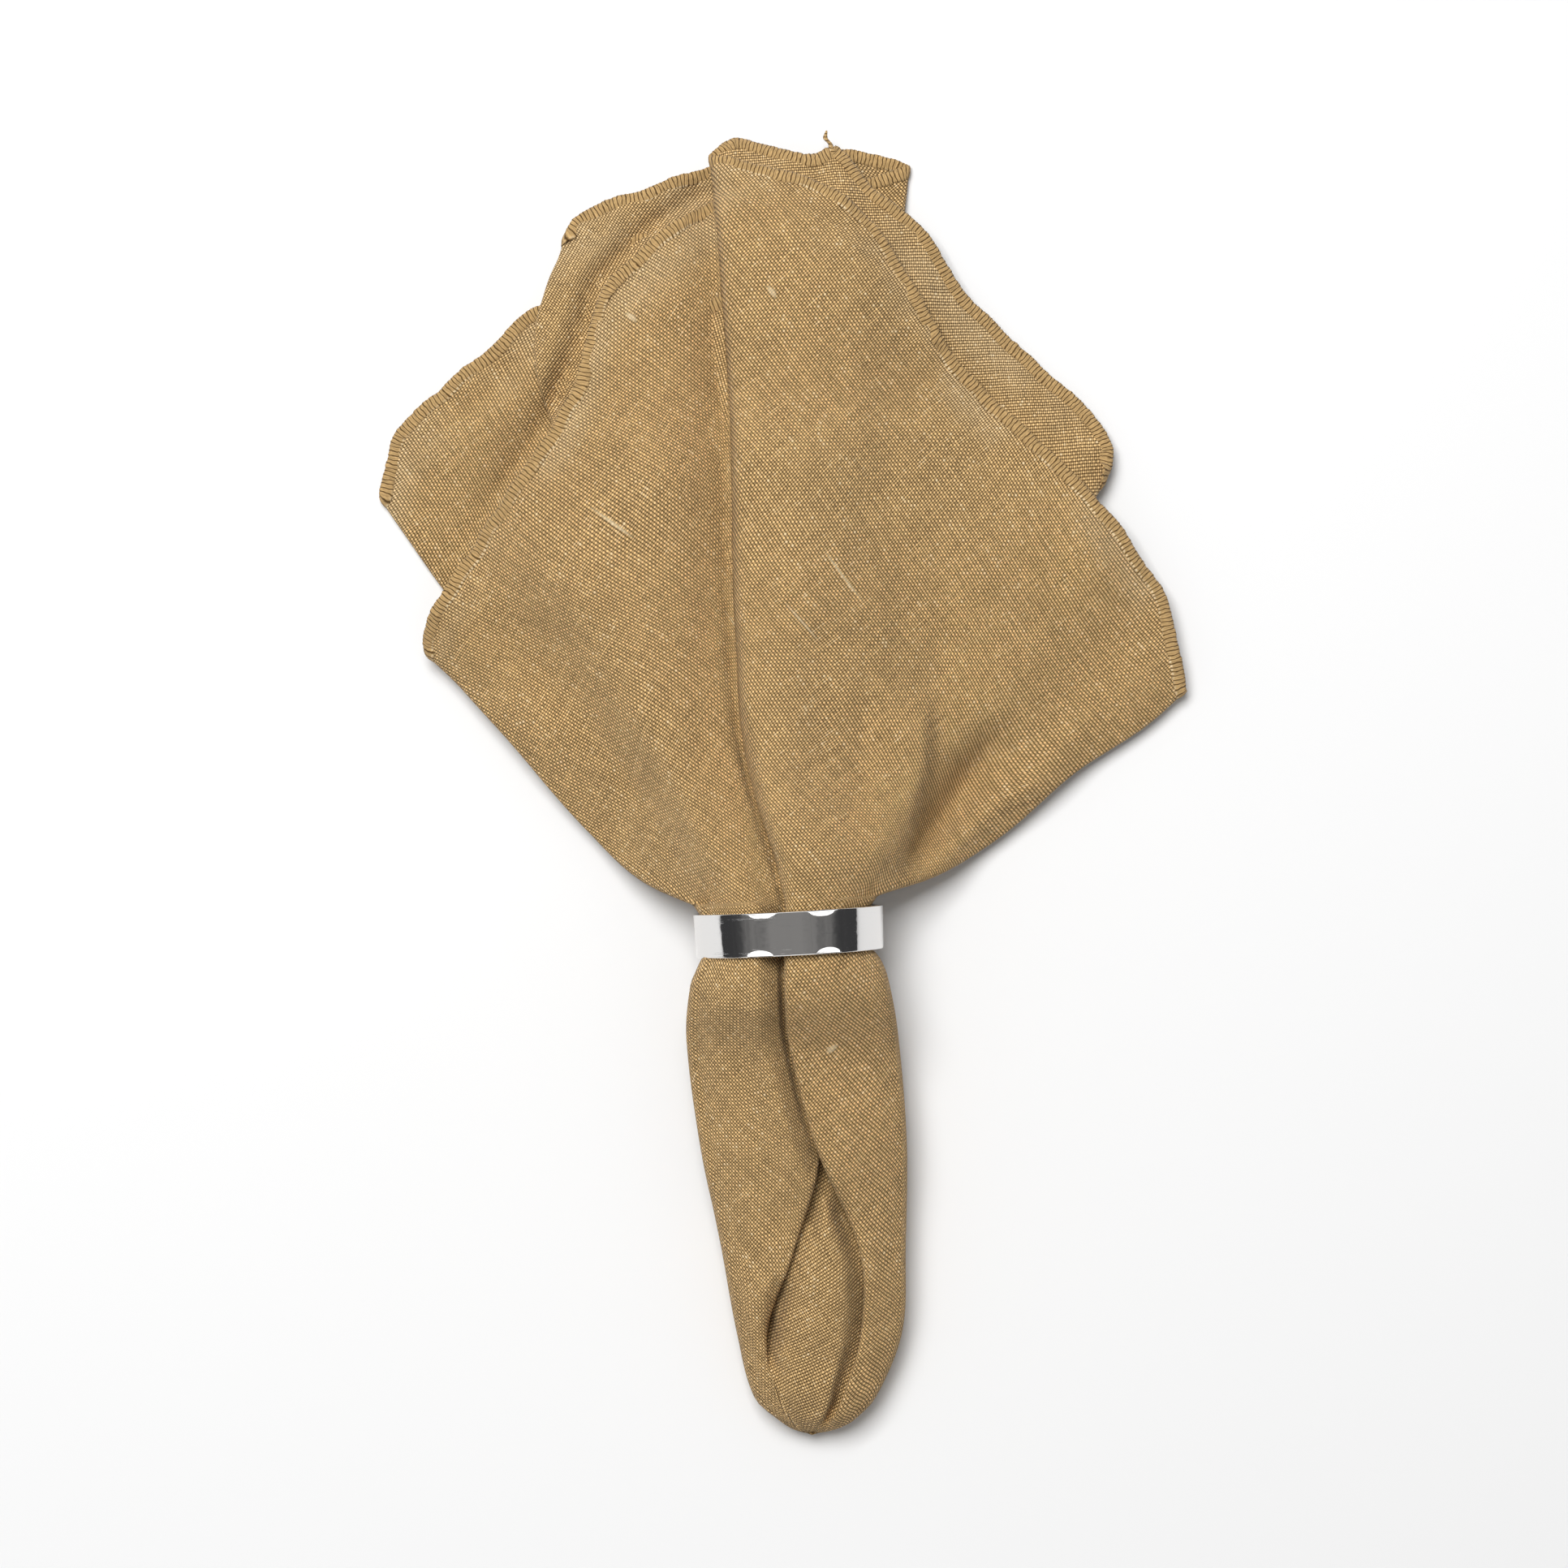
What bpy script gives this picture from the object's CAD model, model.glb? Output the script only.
# %% [markdown]
# # A linen napkin in a polished ring
# The object is one square of washed linen, pinched at its centre and pulled through a metal ring.
# It lies on a table: a closed tail points down the page, and a fan of petals opens above the ring.
# The solids of the part are loaded first. They fix the place and size of every piece below.

import bpy
import numpy as np
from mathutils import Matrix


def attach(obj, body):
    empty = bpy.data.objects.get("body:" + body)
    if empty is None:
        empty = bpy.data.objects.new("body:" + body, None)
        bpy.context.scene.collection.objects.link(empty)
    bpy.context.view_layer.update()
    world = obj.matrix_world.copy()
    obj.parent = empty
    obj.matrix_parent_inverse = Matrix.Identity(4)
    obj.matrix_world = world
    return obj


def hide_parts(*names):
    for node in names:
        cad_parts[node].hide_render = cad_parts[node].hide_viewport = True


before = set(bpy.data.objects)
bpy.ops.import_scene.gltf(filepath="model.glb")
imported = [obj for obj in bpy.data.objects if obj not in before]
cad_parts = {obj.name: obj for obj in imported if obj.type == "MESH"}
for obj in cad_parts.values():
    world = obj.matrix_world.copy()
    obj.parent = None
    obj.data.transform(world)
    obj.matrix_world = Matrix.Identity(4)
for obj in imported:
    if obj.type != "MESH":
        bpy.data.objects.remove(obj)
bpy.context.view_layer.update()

# %% [markdown]
# ## The camera
# The object was seen from straight above, with the tail towards the bottom of the picture.
# A long lens from 1.1 m away keeps the fan almost free of perspective, as a product picture has.
# The camera stands over the middle of the outline, so its frame is centred without any shift.
# The plain Standard view keeps whites white and the cloth as saturated as a shop picture shows it.

# %% Camera
MILLIMETRE = 0.001
MIDDLE_X = 0.46
MIDDLE_Y = 0.23
CAMERA_HEIGHT = 1100.0
FRAME_WIDTH = 374.8
SENSOR_WIDTH = 36.0

camera_data = bpy.data.cameras.new("camera")
camera_data.sensor_width = SENSOR_WIDTH
camera_data.lens = SENSOR_WIDTH * CAMERA_HEIGHT / FRAME_WIDTH
camera_data.clip_start = 0.01
camera_data.clip_end = 20.0
camera = bpy.data.objects.new("camera", camera_data)
camera.location = (MIDDLE_X * MILLIMETRE, MIDDLE_Y * MILLIMETRE, CAMERA_HEIGHT * MILLIMETRE)
bpy.context.collection.objects.link(camera)
bpy.context.scene.camera = camera
bpy.context.scene.view_settings.view_transform = "Standard"
print("lens", round(camera_data.lens, 1), "mm")

# %% [markdown]
# ## Reading short tables
# Folds and hems are described by short tables of sizes, the same ones as the solids have.
# Two readers turn a table into a smooth line: one joins its entries by straight lines, the other
# by cubics. Both work on whole arrays, so that a surface of many thousand points takes no loop.

# %% Table readers
def smoothstep(low, high, value):
    """Ease from 0 at low to 1 at high: 3 t squared minus 2 t cubed, t being the share of the way."""
    share = np.clip((np.asarray(value, dtype=float) - low) / (high - low), 0.0, 1.0)
    return share * share * (3.0 - 2.0 * share)


def read_table(places, values, place):
    """Straight lines between a table's entries."""
    return np.interp(place, places, values)


def read_smooth(places, values, place):
    """A cubic between each two entries, whose end slopes are those of its neighbours' chord."""
    places = np.asarray(places, dtype=float)
    values = np.asarray(values, dtype=float)
    last = len(places) - 1
    before = np.maximum(np.arange(last + 1) - 1, 0)
    after = np.minimum(np.arange(last + 1) + 1, last)
    slopes = (values[after] - values[before]) / (places[after] - places[before])
    place = np.clip(place, places[0], places[last])
    index = np.clip(np.searchsorted(places, place, side="right") - 1, 0, last - 1)
    gap = places[index + 1] - places[index]
    t = (place - places[index]) / gap
    start = (1 + 2 * t) * (1 - t) ** 2 * values[index] + t * (1 - t) ** 2 * gap * slopes[index]
    end = t * t * (3 - 2 * t) * values[index + 1] + t * t * (t - 1) * gap * slopes[index + 1]
    return start + end


# %% [markdown]
# ## The ring's sizes
# The ring is a flat band, a little wider on the side of the fan, and turned by a few degrees.
# Its sizes come first, because the gathered cloth takes its round shape inside it.

# %% Ring sizes
RING_X = 1.2
RING_Y = -34.4
RING_OUTER_FAN_SIDE = 22.3
RING_OUTER_TAIL_SIDE = 21.9
RING_WALL = 1.2
RING_WIDTH = 10.2
RING_TURN = np.radians(3.0)
RING_HEIGHT = RING_OUTER_FAN_SIDE
RING_LEAN = np.tan(RING_TURN)
print("ring", round(2 * RING_OUTER_FAN_SIDE, 1), "mm across,", RING_WIDTH, "mm wide")

# %% [markdown]
# ## How the cloth is folded
# Followed once round the ring, the cloth runs back and forth through twelve folds and twelve panels.
# Each fold is a row: its sideways place along the tail, and its direction in the fan.
# Each panel is a row too: its rank in the pile, and how far its hem reaches from the ring's middle
# at several places across it.

# %% Folds
TIP_X, TIP_Y, TIP_Z = 6.6, -154.6, 7.0
RING_TOP_Y = -27.4
CLOTH_RADIUS_IN_RING = 19.6
TAIL_Y = [-151.4, -146, -130, -110, -85, -60, -46, -41.6, -38, -31, RING_TOP_Y]
FAN_STEP = [0.15, 0.35, 0.6, 0.85, 1]
FOLDS = [
    ("right wing", [16.5, 21.6, 28, 28.8, 29, 27.0, 24.2, 22.3, 19.6, 19.6, 21.8],
     [70.5, 67.2, 61.9, 60.6, 59.2]),
    ("front crease", [10.8, 13.5, 18, 17.8, 7.5, 1, 0, 0, 0, 0.2, 0.2], [-14.5, -10.6, -7, -6, -5.9]),
    ("under right", [10, 16, 23.5, 24, 23, 21, 18, 15, 15, 15, 15], [48, 38, 37, 36, 35.3]),
    ("hidden left", [2.6, -0.4, -6, -6, -8, -10, -10, -9, -9, -9, -9], [-48, -46, -45, -44, -43]),
    ("pocket edge", [1.6, -1.4, -4, 2.2, 8.5, 3, 3, 3, 3, 3, 3], [8, 6, 5, 4, 4]),
    ("left wing", [-1, -6.9, -11.2, -14.8, -19.8, -22.9, -21.9, -20.2, -18.6, -18.8, -21],
     [-72.5, -64.5, -57.6, -54, -53]),
    ("back curl", [3.2, 0.6, -0.5, 7, 9, 9, 9, 9, 9, 9, 9], [25, 15, 11, 9.5, 9]),
    ("back tuck left", [4.2, 1.6, 0.5, -5, -8, -8, -7, -7, -7, -7, -7], [-34, -28, -26, -24.1, -18]),
    ("back tuck right", [6.6, 6.6, 7, 4, -2, -2, -2, -2, -2, -2, -2], [-10, -5, -2, 0, 0]),
    ("back lobe", [7.6, 7.6, 8, -4, -15, -17, -16, -14, -14, -14, -14], [-62, -54, -48, -45, -43.6]),
    ("base right", [11, 14, 16.5, 18, 18, 17, 15, 12.5, 12.5, 12.5, 12.5], [58, 54, 52, 51, 50]),
    ("base left", [12, 15, 17.5, 6, -2, -3, -3, -3, -3, -3, -3], [-32, -31, -30, -30, -30]),
]
RIGHT_WING = 0
LEFT_WING = 5

# %% Panels
PANELS = [
    {"name": "front right", "rank": 1, "sheet": "upper", "columns": 66,
     "at": [0, 0.167, 0.333, 0.5, 0.667, 0.833, 1],
     "reach": [110.7, 119.4, 125.2, 131, 143, 174, 185.4]},
    {"name": "under front", "rank": 2, "sheet": "upper", "columns": 54,
     "at": [0, 0.06, 0.177, 0.2, 0.222, 0.3, 0.4, 0.53, 0.71, 0.9, 0.98, 1],
     "reach": [185.4, 188.5, 184.4, 184.9, 187.2, 178.5, 170.3, 156.5, 147.4, 141.8, 136.9, 131.5]},
    {"name": "pocket", "rank": 5, "sheet": "upper", "columns": 34,
     "at": [0, 0.25, 0.5, 0.75, 1], "reach": [131.5, 112, 100, 102, 108]},
    {"name": "hidden middle", "rank": 4, "sheet": "upper", "columns": 16,
     "at": [0, 0.25, 0.5, 0.75, 1], "reach": [108, 118, 130, 150, 168]},
    {"name": "front left", "rank": 3, "sheet": "upper", "columns": 70,
     "at": [0, 0.09, 0.167, 0.244, 0.321, 0.361, 0.402, 0.456, 0.542, 0.702, 0.865, 0.979, 1],
     "reach": [168, 173, 175.2, 169.9, 162.5, 158, 148.4, 138.5, 130.1, 120.9, 115.3, 111.7, 109]},
    {"name": "under left", "rank": 6, "sheet": "lower", "columns": 26,
     "at": [0, 0.25, 0.5, 0.75, 1], "reach": [109, 114, 128, 165, 184]},
    {"name": "back middle", "rank": 7, "sheet": "lower", "columns": 36,
     "at": [0, 0.12, 0.333, 0.556, 0.748, 0.944, 1],
     "reach": [184, 186.3, 184, 182.9, 179.8, 177.5, 173.7]},
    {"name": "back tuck", "rank": 8, "sheet": "lower", "columns": 8,
     "at": [0, 0.5, 1], "reach": [173.7, 168, 165]},
    {"name": "back left", "rank": 9, "sheet": "lower", "columns": 46,
     "at": [0, 0.25, 0.493, 0.63, 0.755, 0.885, 0.927, 1],
     "reach": [165, 163, 160.3, 156.1, 153, 151.1, 147.5, 142.2]},
    {"name": "base", "rank": 12, "sheet": "lower", "columns": 18,
     "at": [0, 0.25, 0.5, 0.75, 1], "reach": [142.2, 125, 105, 100, 108]},
    {"name": "base middle", "rank": 11, "sheet": "lower", "columns": 16,
     "at": [0, 0.25, 0.5, 0.75, 1], "reach": [108, 122, 150, 168, 150]},
    {"name": "base upper", "rank": 10, "sheet": "lower", "columns": 22,
     "at": [0, 0.25, 0.5, 0.75, 1], "reach": [150, 168, 140, 118, 110.7]},
]
PLEAT_FADE = {
    "under front": (-153, -149),
    "hidden middle": (-138, -131),
    "back middle": (-138, -131),
    "back left": (-138, -131),
    "base middle": (-138, -131),
}
print(len(FOLDS), "folds and", len(PANELS), "panels")

# %% [markdown]
# ## Places on the cloth
# A point of the cloth has two parameters: how far round the folds it lies, and how far it is from
# the tip. In the tail it sits on straight lines across. In the fan it runs out along a ray from the
# ring's middle, until the hem. The rows lean by the ring's turn where they pass through it.

# %% Places
LEAN_FROM_Y, LEAN_TO_Y = -65.0, -45.0
STRAIGHT_STEP = 0.15


def fold_x(index, y):
    """Sideways place of a fold: its table, or a round closing towards the tip as a square root."""
    table = read_smooth(TAIL_Y, FOLDS[index][1], y)
    share = np.clip((y - TIP_Y) / (TAIL_Y[0] - TIP_Y), 0.0, 1.0)
    closing = TIP_X + (FOLDS[index][1][0] - TIP_X) * np.sqrt(share)
    return np.where(y >= TAIL_Y[0], table, closing)


def ring_exit(x):
    """Distance and direction, from the ring's middle, of the point where a line leaves the ring."""
    across = x - RING_X
    along = RING_TOP_Y - RING_Y + RING_LEAN * across
    return np.hypot(across, along), np.degrees(np.arctan2(across, along))


FOLD_EXITS = [ring_exit(float(fold_x(i, RING_TOP_Y))) for i in range(len(FOLDS))]
FAN_PLACES = [0.0] + FAN_STEP
FOLD_ANGLES = [[FOLD_EXITS[i][1]] + FOLDS[i][2] for i in range(len(FOLDS))]
FOLD_REACH = [panel["reach"][0] for panel in PANELS]


def place_on_panel(index, share, line, step):
    """Point of a panel: straight across in the tail, along a ray from the ring in the fan."""
    following = (index + 1) % len(FOLDS)
    tail_x = fold_x(index, line) + share * (fold_x(following, line) - fold_x(index, line))
    lean = RING_LEAN * (tail_x - RING_X) * smoothstep(LEAN_FROM_Y, LEAN_TO_Y, line)
    first_exit = fold_x(index, RING_TOP_Y)
    last_exit = fold_x(following, RING_TOP_Y)
    exit_distance, exit_angle = ring_exit(first_exit + share * (last_exit - first_exit))
    reach = read_smooth(PANELS[index]["at"], PANELS[index]["reach"], share)
    distance = exit_distance + (reach - exit_distance) * step
    start = read_smooth(FAN_PLACES, FOLD_ANGLES[index], step)
    end = read_smooth(FAN_PLACES, FOLD_ANGLES[following], step)
    first_angle = FOLD_ANGLES[index][0]
    last_angle = FOLD_ANGLES[following][0]
    straight = exit_angle - first_angle - share * (last_angle - first_angle)
    angle = start + share * (end - start) + straight * (1 - smoothstep(0, STRAIGHT_STEP, step))
    turn = np.radians(angle)
    in_tail = step <= 0
    return {
        "x": np.where(in_tail, tail_x, RING_X + distance * np.sin(turn)),
        "y": np.where(in_tail, line + lean, RING_Y + distance * np.cos(turn)),
        "line": line + 0 * share,
        "angle": angle,
        "distance": distance,
        "in_tail": in_tail & (share == share),
        "reach": reach,
    }


# %% [markdown]
# ## How high each panel lies
# Real layers rest on one another. Here each panel counts the layers beneath it, and a layer's share
# eases off beyond its folds and its hem, so that the cloth above drapes softly over its edges.
# In the ring and the tail the pile fills a rounded bundle, and in the fan it settles on the table.

# %% Heights
HALF_CLOTH = 0.5
TAIL_HEIGHT_Y = [-154.6, -153, -150, -144, -134, -120, -100, -80, -60, -47, -41.6, RING_TOP_Y]
TAIL_HEIGHT = [4, 8, 12, 15, 18, 21, 24, 27, 31, 36, 39.8, 39.8]
LAYER_ROOM_AT = [6, 30, 60, 100, 140, 200]
LAYER_ROOM = [3.4, 3.0, 2.7, 2.5, 2.4, 2.3]
DRAPE_AT = [-156, -140, -60, -28, 40, 120, 200]
DRAPE_WIDTH = [2, 4, 7, 7, 12, 24, 28]
DRAPE_MARGIN = [0, 0, 0, 0, 3, 5, 5]
BUNDLE_MARGIN = 1.2
FAN_HALF_WIDTH = 19.9
FAN_WIDENS_FROM, FAN_WIDENING = 20.0, 0.9
MOST_SIDE = 0.97


def fold_angle_at(index, distance):
    """Direction of a fold at a distance from the ring's middle."""
    exit_distance = FOLD_EXITS[index][0]
    step = np.clip((distance - exit_distance) / (FOLD_REACH[index] - exit_distance), 0.0, 1.0)
    return read_smooth(FAN_PLACES, FOLD_ANGLES[index], step)


def outside(value, one, other):
    """How far a value lies outside the stretch between two others, negative within it."""
    return np.maximum(np.minimum(one, other) - value, value - np.maximum(one, other))


def coverage(index, place):
    """How fully a panel covers each place: 1 on it, easing to 0 beyond its folds and its hem."""
    following = (index + 1) % len(FOLDS)
    along = np.where(place["in_tail"], place["line"], place["distance"])
    drape = read_table(DRAPE_AT, DRAPE_WIDTH, along)
    margin = read_table(DRAPE_AT, DRAPE_MARGIN, along)
    beyond_x = outside(place["x"], fold_x(index, place["line"]), fold_x(following, place["line"]))
    start = fold_angle_at(index, place["distance"])
    end = fold_angle_at(following, place["distance"])
    beyond_angle = np.maximum(outside(place["angle"], start, end), 0.0)
    beyond_ray = np.radians(beyond_angle) * place["distance"]
    share = np.clip((place["angle"] - start) / np.where(end == start, 1.0, end - start), 0.0, 1.0)
    hem = read_table(PANELS[index]["at"], PANELS[index]["reach"], share)
    beyond_hem = np.maximum(place["distance"] - hem, 0.0)
    beyond = np.where(place["in_tail"], np.maximum(beyond_x, 0.0), np.hypot(beyond_ray, beyond_hem))
    return 1.0 - smoothstep(margin, margin + drape, beyond)


def pleat_presence(one, other, place):
    """Panels of one side of the tail merge where every pleat between them has faded out."""
    if PANELS[one]["sheet"] != PANELS[other]["sheet"]:
        return 1.0
    presence = np.zeros_like(place["x"])
    for k in range(min(one, other), max(one, other) + 1):
        if PANELS[k]["name"] in PLEAT_FADE:
            gone, full = PLEAT_FADE[PANELS[k]["name"]]
            presence = np.maximum(presence, smoothstep(gone, full, place["line"]))
    return np.where(place["in_tail"], presence, 1.0)


def bundle_side(place):
    """How far out in the bundle a place is: 0 in its middle, almost 1 at its side."""
    left = fold_x(LEFT_WING, place["line"])
    right = fold_x(RIGHT_WING, place["line"])
    tail = np.abs(place["x"] - (left + right) / 2) / ((right - left) / 2 + BUNDLE_MARGIN)
    fan_half = FAN_HALF_WIDTH + np.maximum(0.0, place["distance"] - FAN_WIDENS_FROM) * FAN_WIDENING
    fan = np.abs(place["x"] - RING_X) / fan_half
    return np.clip(np.where(place["in_tail"], tail, fan), 0.0, MOST_SIDE)


SLACK_RANKS = 4
SLACK_FROM_Y, SLACK_TO_Y = -95.0, -112.0
SLACK_SHARE = 0.5


def layer_weight(index, other, place):
    """How much another layer counts here. The lips of the tail's pocket lie closer together."""
    weight = coverage(other, place) * pleat_presence(index, other, place)
    if PANELS[other]["rank"] <= SLACK_RANKS:
        slack = np.clip((SLACK_FROM_Y - place["line"]) / (SLACK_FROM_Y - SLACK_TO_Y), 0.0, 1.0)
        weight = weight * np.where(place["in_tail"], 1 - SLACK_SHARE * slack, 1.0)
    return weight


IN_RING_Y = (-64, -42)
IN_RING_DISTANCE = (8, 30)
BUNDLED_DISTANCE = (10, 52)
LOOSE_SIDE_SHARE = 0.4


def panel_height(index, place):
    """Height of a panel: the bottom of the pile, and the room of every layer that lies beneath."""
    beneath = np.zeros_like(place["x"])
    above = np.zeros_like(place["x"])
    for other in range(len(PANELS)):
        if other == index:
            continue
        weight = layer_weight(index, other, place)
        if PANELS[other]["rank"] > PANELS[index]["rank"]:
            beneath = beneath + weight
        else:
            above = above + weight
    layers = np.maximum(beneath + above, 1.0)
    side = bundle_side(place)
    roundness = np.sqrt(1 - side * side)
    tail = place["in_tail"]
    near_ring = 1 - smoothstep(*IN_RING_DISTANCE, place["distance"])
    in_ring = np.where(tail, smoothstep(*IN_RING_Y, place["line"]), near_ring)
    bundled = np.where(tail, 1.0, 1 - smoothstep(*BUNDLED_DISTANCE, place["distance"]))
    tail_height = read_table(TAIL_HEIGHT_Y, TAIL_HEIGHT, place["line"])
    height = np.where(tail, tail_height, 2 * CLOTH_RADIUS_IN_RING)
    round_bottom = RING_HEIGHT - CLOTH_RADIUS_IN_RING * roundness
    flat_bottom = HALF_CLOTH + LOOSE_SIDE_SHARE * height * np.clip((side - 0.45) / 0.55, 0.0, 1.0) ** 2
    loose_bottom = np.where(tail, flat_bottom, HALF_CLOTH)
    bottom = loose_bottom + (round_bottom - loose_bottom) * in_ring
    round_top = round_bottom + 2 * CLOTH_RADIUS_IN_RING * roundness
    loose_top = HALF_CLOTH + height * (LOOSE_SIDE_SHARE + (1 - LOOSE_SIDE_SHARE) * roundness)
    top = np.where(tail, loose_top + (round_top - loose_top) * in_ring, round_top)
    bundle_room = (top - bottom) / layers
    loose_room = np.where(tail, bundle_room, read_table(LAYER_ROOM_AT, LAYER_ROOM, place["distance"]))
    return bottom + (loose_room + (bundle_room - loose_room) * bundled) * beneath


# %% [markdown]
# ## The left half comes up to the crease
# At the neck and in the tail the left half of the cloth bulges up beside the front crease, so the
# two halves meet in one narrow dark line. Only the panel on top on that side is lifted, and only
# beyond the crease, where nothing lies above it. In the fan the lift fades out with the distance.

# %% Crease lift
FRONT_CREASE = 1
LIFTED_PANEL = 4
LIFT_AT_Y = [-96, -88, -75, -50, -44, -41, RING_TOP_Y]
LIFT_IN_TAIL = [0, 1.0, 2.2, 2.8, 2.2, 0.6, 0.6]
LIFT_AT_DISTANCE = [7, 12, 24, 60, 100, 140]
LIFT_IN_FAN = [0.6, 2.2, 2.8, 1.2, 0.2, 0]
LIFT_STARTS, LIFT_FULL = 0.4, 1.7
LIFT_FADES, LIFT_GONE = 2.0, 12.0


def crease_lift(index, place):
    """Table of the lift along the crease, times an ease up beside it and an ease down further off."""
    if index != LIFTED_PANEL:
        return np.zeros_like(place["x"])
    in_tail = fold_x(FRONT_CREASE, place["line"]) - place["x"]
    in_fan = np.radians(fold_angle_at(FRONT_CREASE, place["distance"]) - place["angle"]) * place["distance"]
    beyond = np.where(place["in_tail"], in_tail, in_fan)
    amount = np.where(
        place["in_tail"],
        read_table(LIFT_AT_Y, LIFT_IN_TAIL, place["line"]),
        read_table(LIFT_AT_DISTANCE, LIFT_IN_FAN, place["distance"]),
    )
    bell = smoothstep(LIFT_STARTS, LIFT_FULL, beyond) * (1 - smoothstep(LIFT_FADES, LIFT_GONE, beyond))
    return amount * bell


# %% [markdown]
# ## The sheet as one grid
# Columns run round the folds and rows run from the tip to the hem. Each fold is half an ellipse
# between the ends of its two panels. The seen panels get close columns and the hidden ones get few.

# %% Cloth grid
FOLD_ROUNDING = 2.4
LEAST_ROUNDING = 0.15
FOLD_COLUMNS = 5
TAIL_ROWS = 92
FAN_ROWS = 112
ROW_SHARE = [0, 0.03, 0.1, 0.74, 0.88, 1]
ROW_Y = [TIP_Y, -154.1, -150, -52, -38, RING_TOP_Y]


def row_parameters():
    """Rows: close together at the round tip and in the ring, and even along the tail and the fan."""
    share = np.linspace(0, 1, TAIL_ROWS + 1)[1:]
    line = read_smooth(ROW_SHARE, ROW_Y, share)
    step = np.linspace(0, 1, FAN_ROWS + 1)[1:]
    lines = np.concatenate([line, np.full(FAN_ROWS, RING_TOP_Y)])
    steps = np.concatenate([np.zeros(TAIL_ROWS), step])
    return lines[:, None], steps[:, None]


def cloth_grid():
    """All points of the cloth's middle surface, each with its distance from the ring's middle."""
    line, step = row_parameters()
    count = len(PANELS)
    widths = []
    ends = []
    for index in range(count):
        start = place_on_panel(index, np.zeros((1, 1)), line, step)
        end = place_on_panel(index, np.ones((1, 1)), line, step)
        widths.append(np.maximum(np.hypot(end["x"] - start["x"], end["y"] - start["y"]), 1e-3))
        ends.append((panel_height(index, start), panel_height(index, end)))
    turns = []
    for index in range(count):
        before = index - 1
        half = np.maximum(np.abs(ends[before][1] - ends[index][0]) / 2, LEAST_ROUNDING)
        half = np.minimum(half, FOLD_ROUNDING)
        turns.append(np.minimum(half, np.minimum(0.4 * widths[before], 0.4 * widths[index])))
    blocks = []
    for index in range(count):
        before = index - 1
        following = (index + 1) % count
        share_before = 1 - turns[index] / widths[before]
        share_after = turns[index] / widths[index]
        z_before = panel_height(before, place_on_panel(before, share_before, line, step))
        z_after = panel_height(index, place_on_panel(index, share_after, line, step))
        turn = np.pi * (np.arange(1, FOLD_COLUMNS + 1) / (FOLD_COLUMNS + 1) - 0.5)[None, :]
        inset = turns[index] * (1 - np.cos(turn))
        old_side = place_on_panel(before, 1 - inset / widths[before], line, step)
        new_side = place_on_panel(index, inset / widths[index], line, step)
        on_old = turn < 0
        fold_z = (z_before + z_after) / 2 + (z_after - z_before) / 2 * np.sin(turn)
        blocks.append((
            np.where(on_old, old_side["x"], new_side["x"]),
            np.where(on_old, old_side["y"], new_side["y"]),
            fold_z,
            np.where(on_old, old_side["distance"], new_side["distance"]),
        ))
        end_share = 1 - turns[following] / widths[index]
        k = np.linspace(0, 1, PANELS[index]["columns"] + 1)[None, :]
        share = share_after + k * (end_share - share_after)
        place = place_on_panel(index, share, line, step)
        height = panel_height(index, place) + crease_lift(index, place)
        blocks.append((place["x"], place["y"], height, place["distance"]))
    x, y, z, distance = (np.concatenate(parts, axis=1) for parts in zip(*blocks))
    return x, y, z, distance, np.broadcast_to(step <= 0, x.shape)


cloth_x, cloth_y, cloth_z, cloth_distance, cloth_in_tail = cloth_grid()
ROWS, COLUMNS = cloth_x.shape
print("cloth grid", ROWS, "rows by", COLUMNS, "columns")

# %% [markdown]
# ## Soft wrinkles
# Washed linen is never smooth. A wrinkle is added as a change of height that depends only on the
# place on the table, and grows from nothing at the bottom of the pile to its full depth on top.
# Layers that lie on one another then move alike, so that none of them can cut through the next.
# The deep trough beside the right petal's rolled edge is steep on one side and flat on the other.

# %% Wrinkles
RING_CLEAR_FROM, RING_CLEAR_TO = 6.0, 18.0
WRINKLE_FROM_Z, WRINKLE_FULL_Z = 0.5, 13.0


def beside_crease(offset, steps):
    """Places in the fan, at one distance beside the front crease."""
    step = np.array(steps)
    place = place_on_panel(FRONT_CREASE, np.zeros_like(step), np.full_like(step, RING_TOP_Y), step)
    return [(float(x) + offset, float(y)) for x, y in zip(place["x"], place["y"])]


def beside_hem(index, shares, offset):
    """Places outside a panel's hem, at one distance from it along the rays from the ring."""
    share = np.array(shares)
    place = place_on_panel(index, share, np.full(share.shape, RING_TOP_Y), np.ones(share.shape))
    height = panel_height(index, place)
    longer = 1 + offset / place["distance"]
    draw_in = 1 - height / CAMERA_HEIGHT
    x = RING_X + (place["x"] - RING_X) * longer
    y = RING_Y + (place["y"] - RING_Y) * longer
    return [(float(a), float(b)) for a, b in zip(x * draw_in, y * draw_in)]


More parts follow.
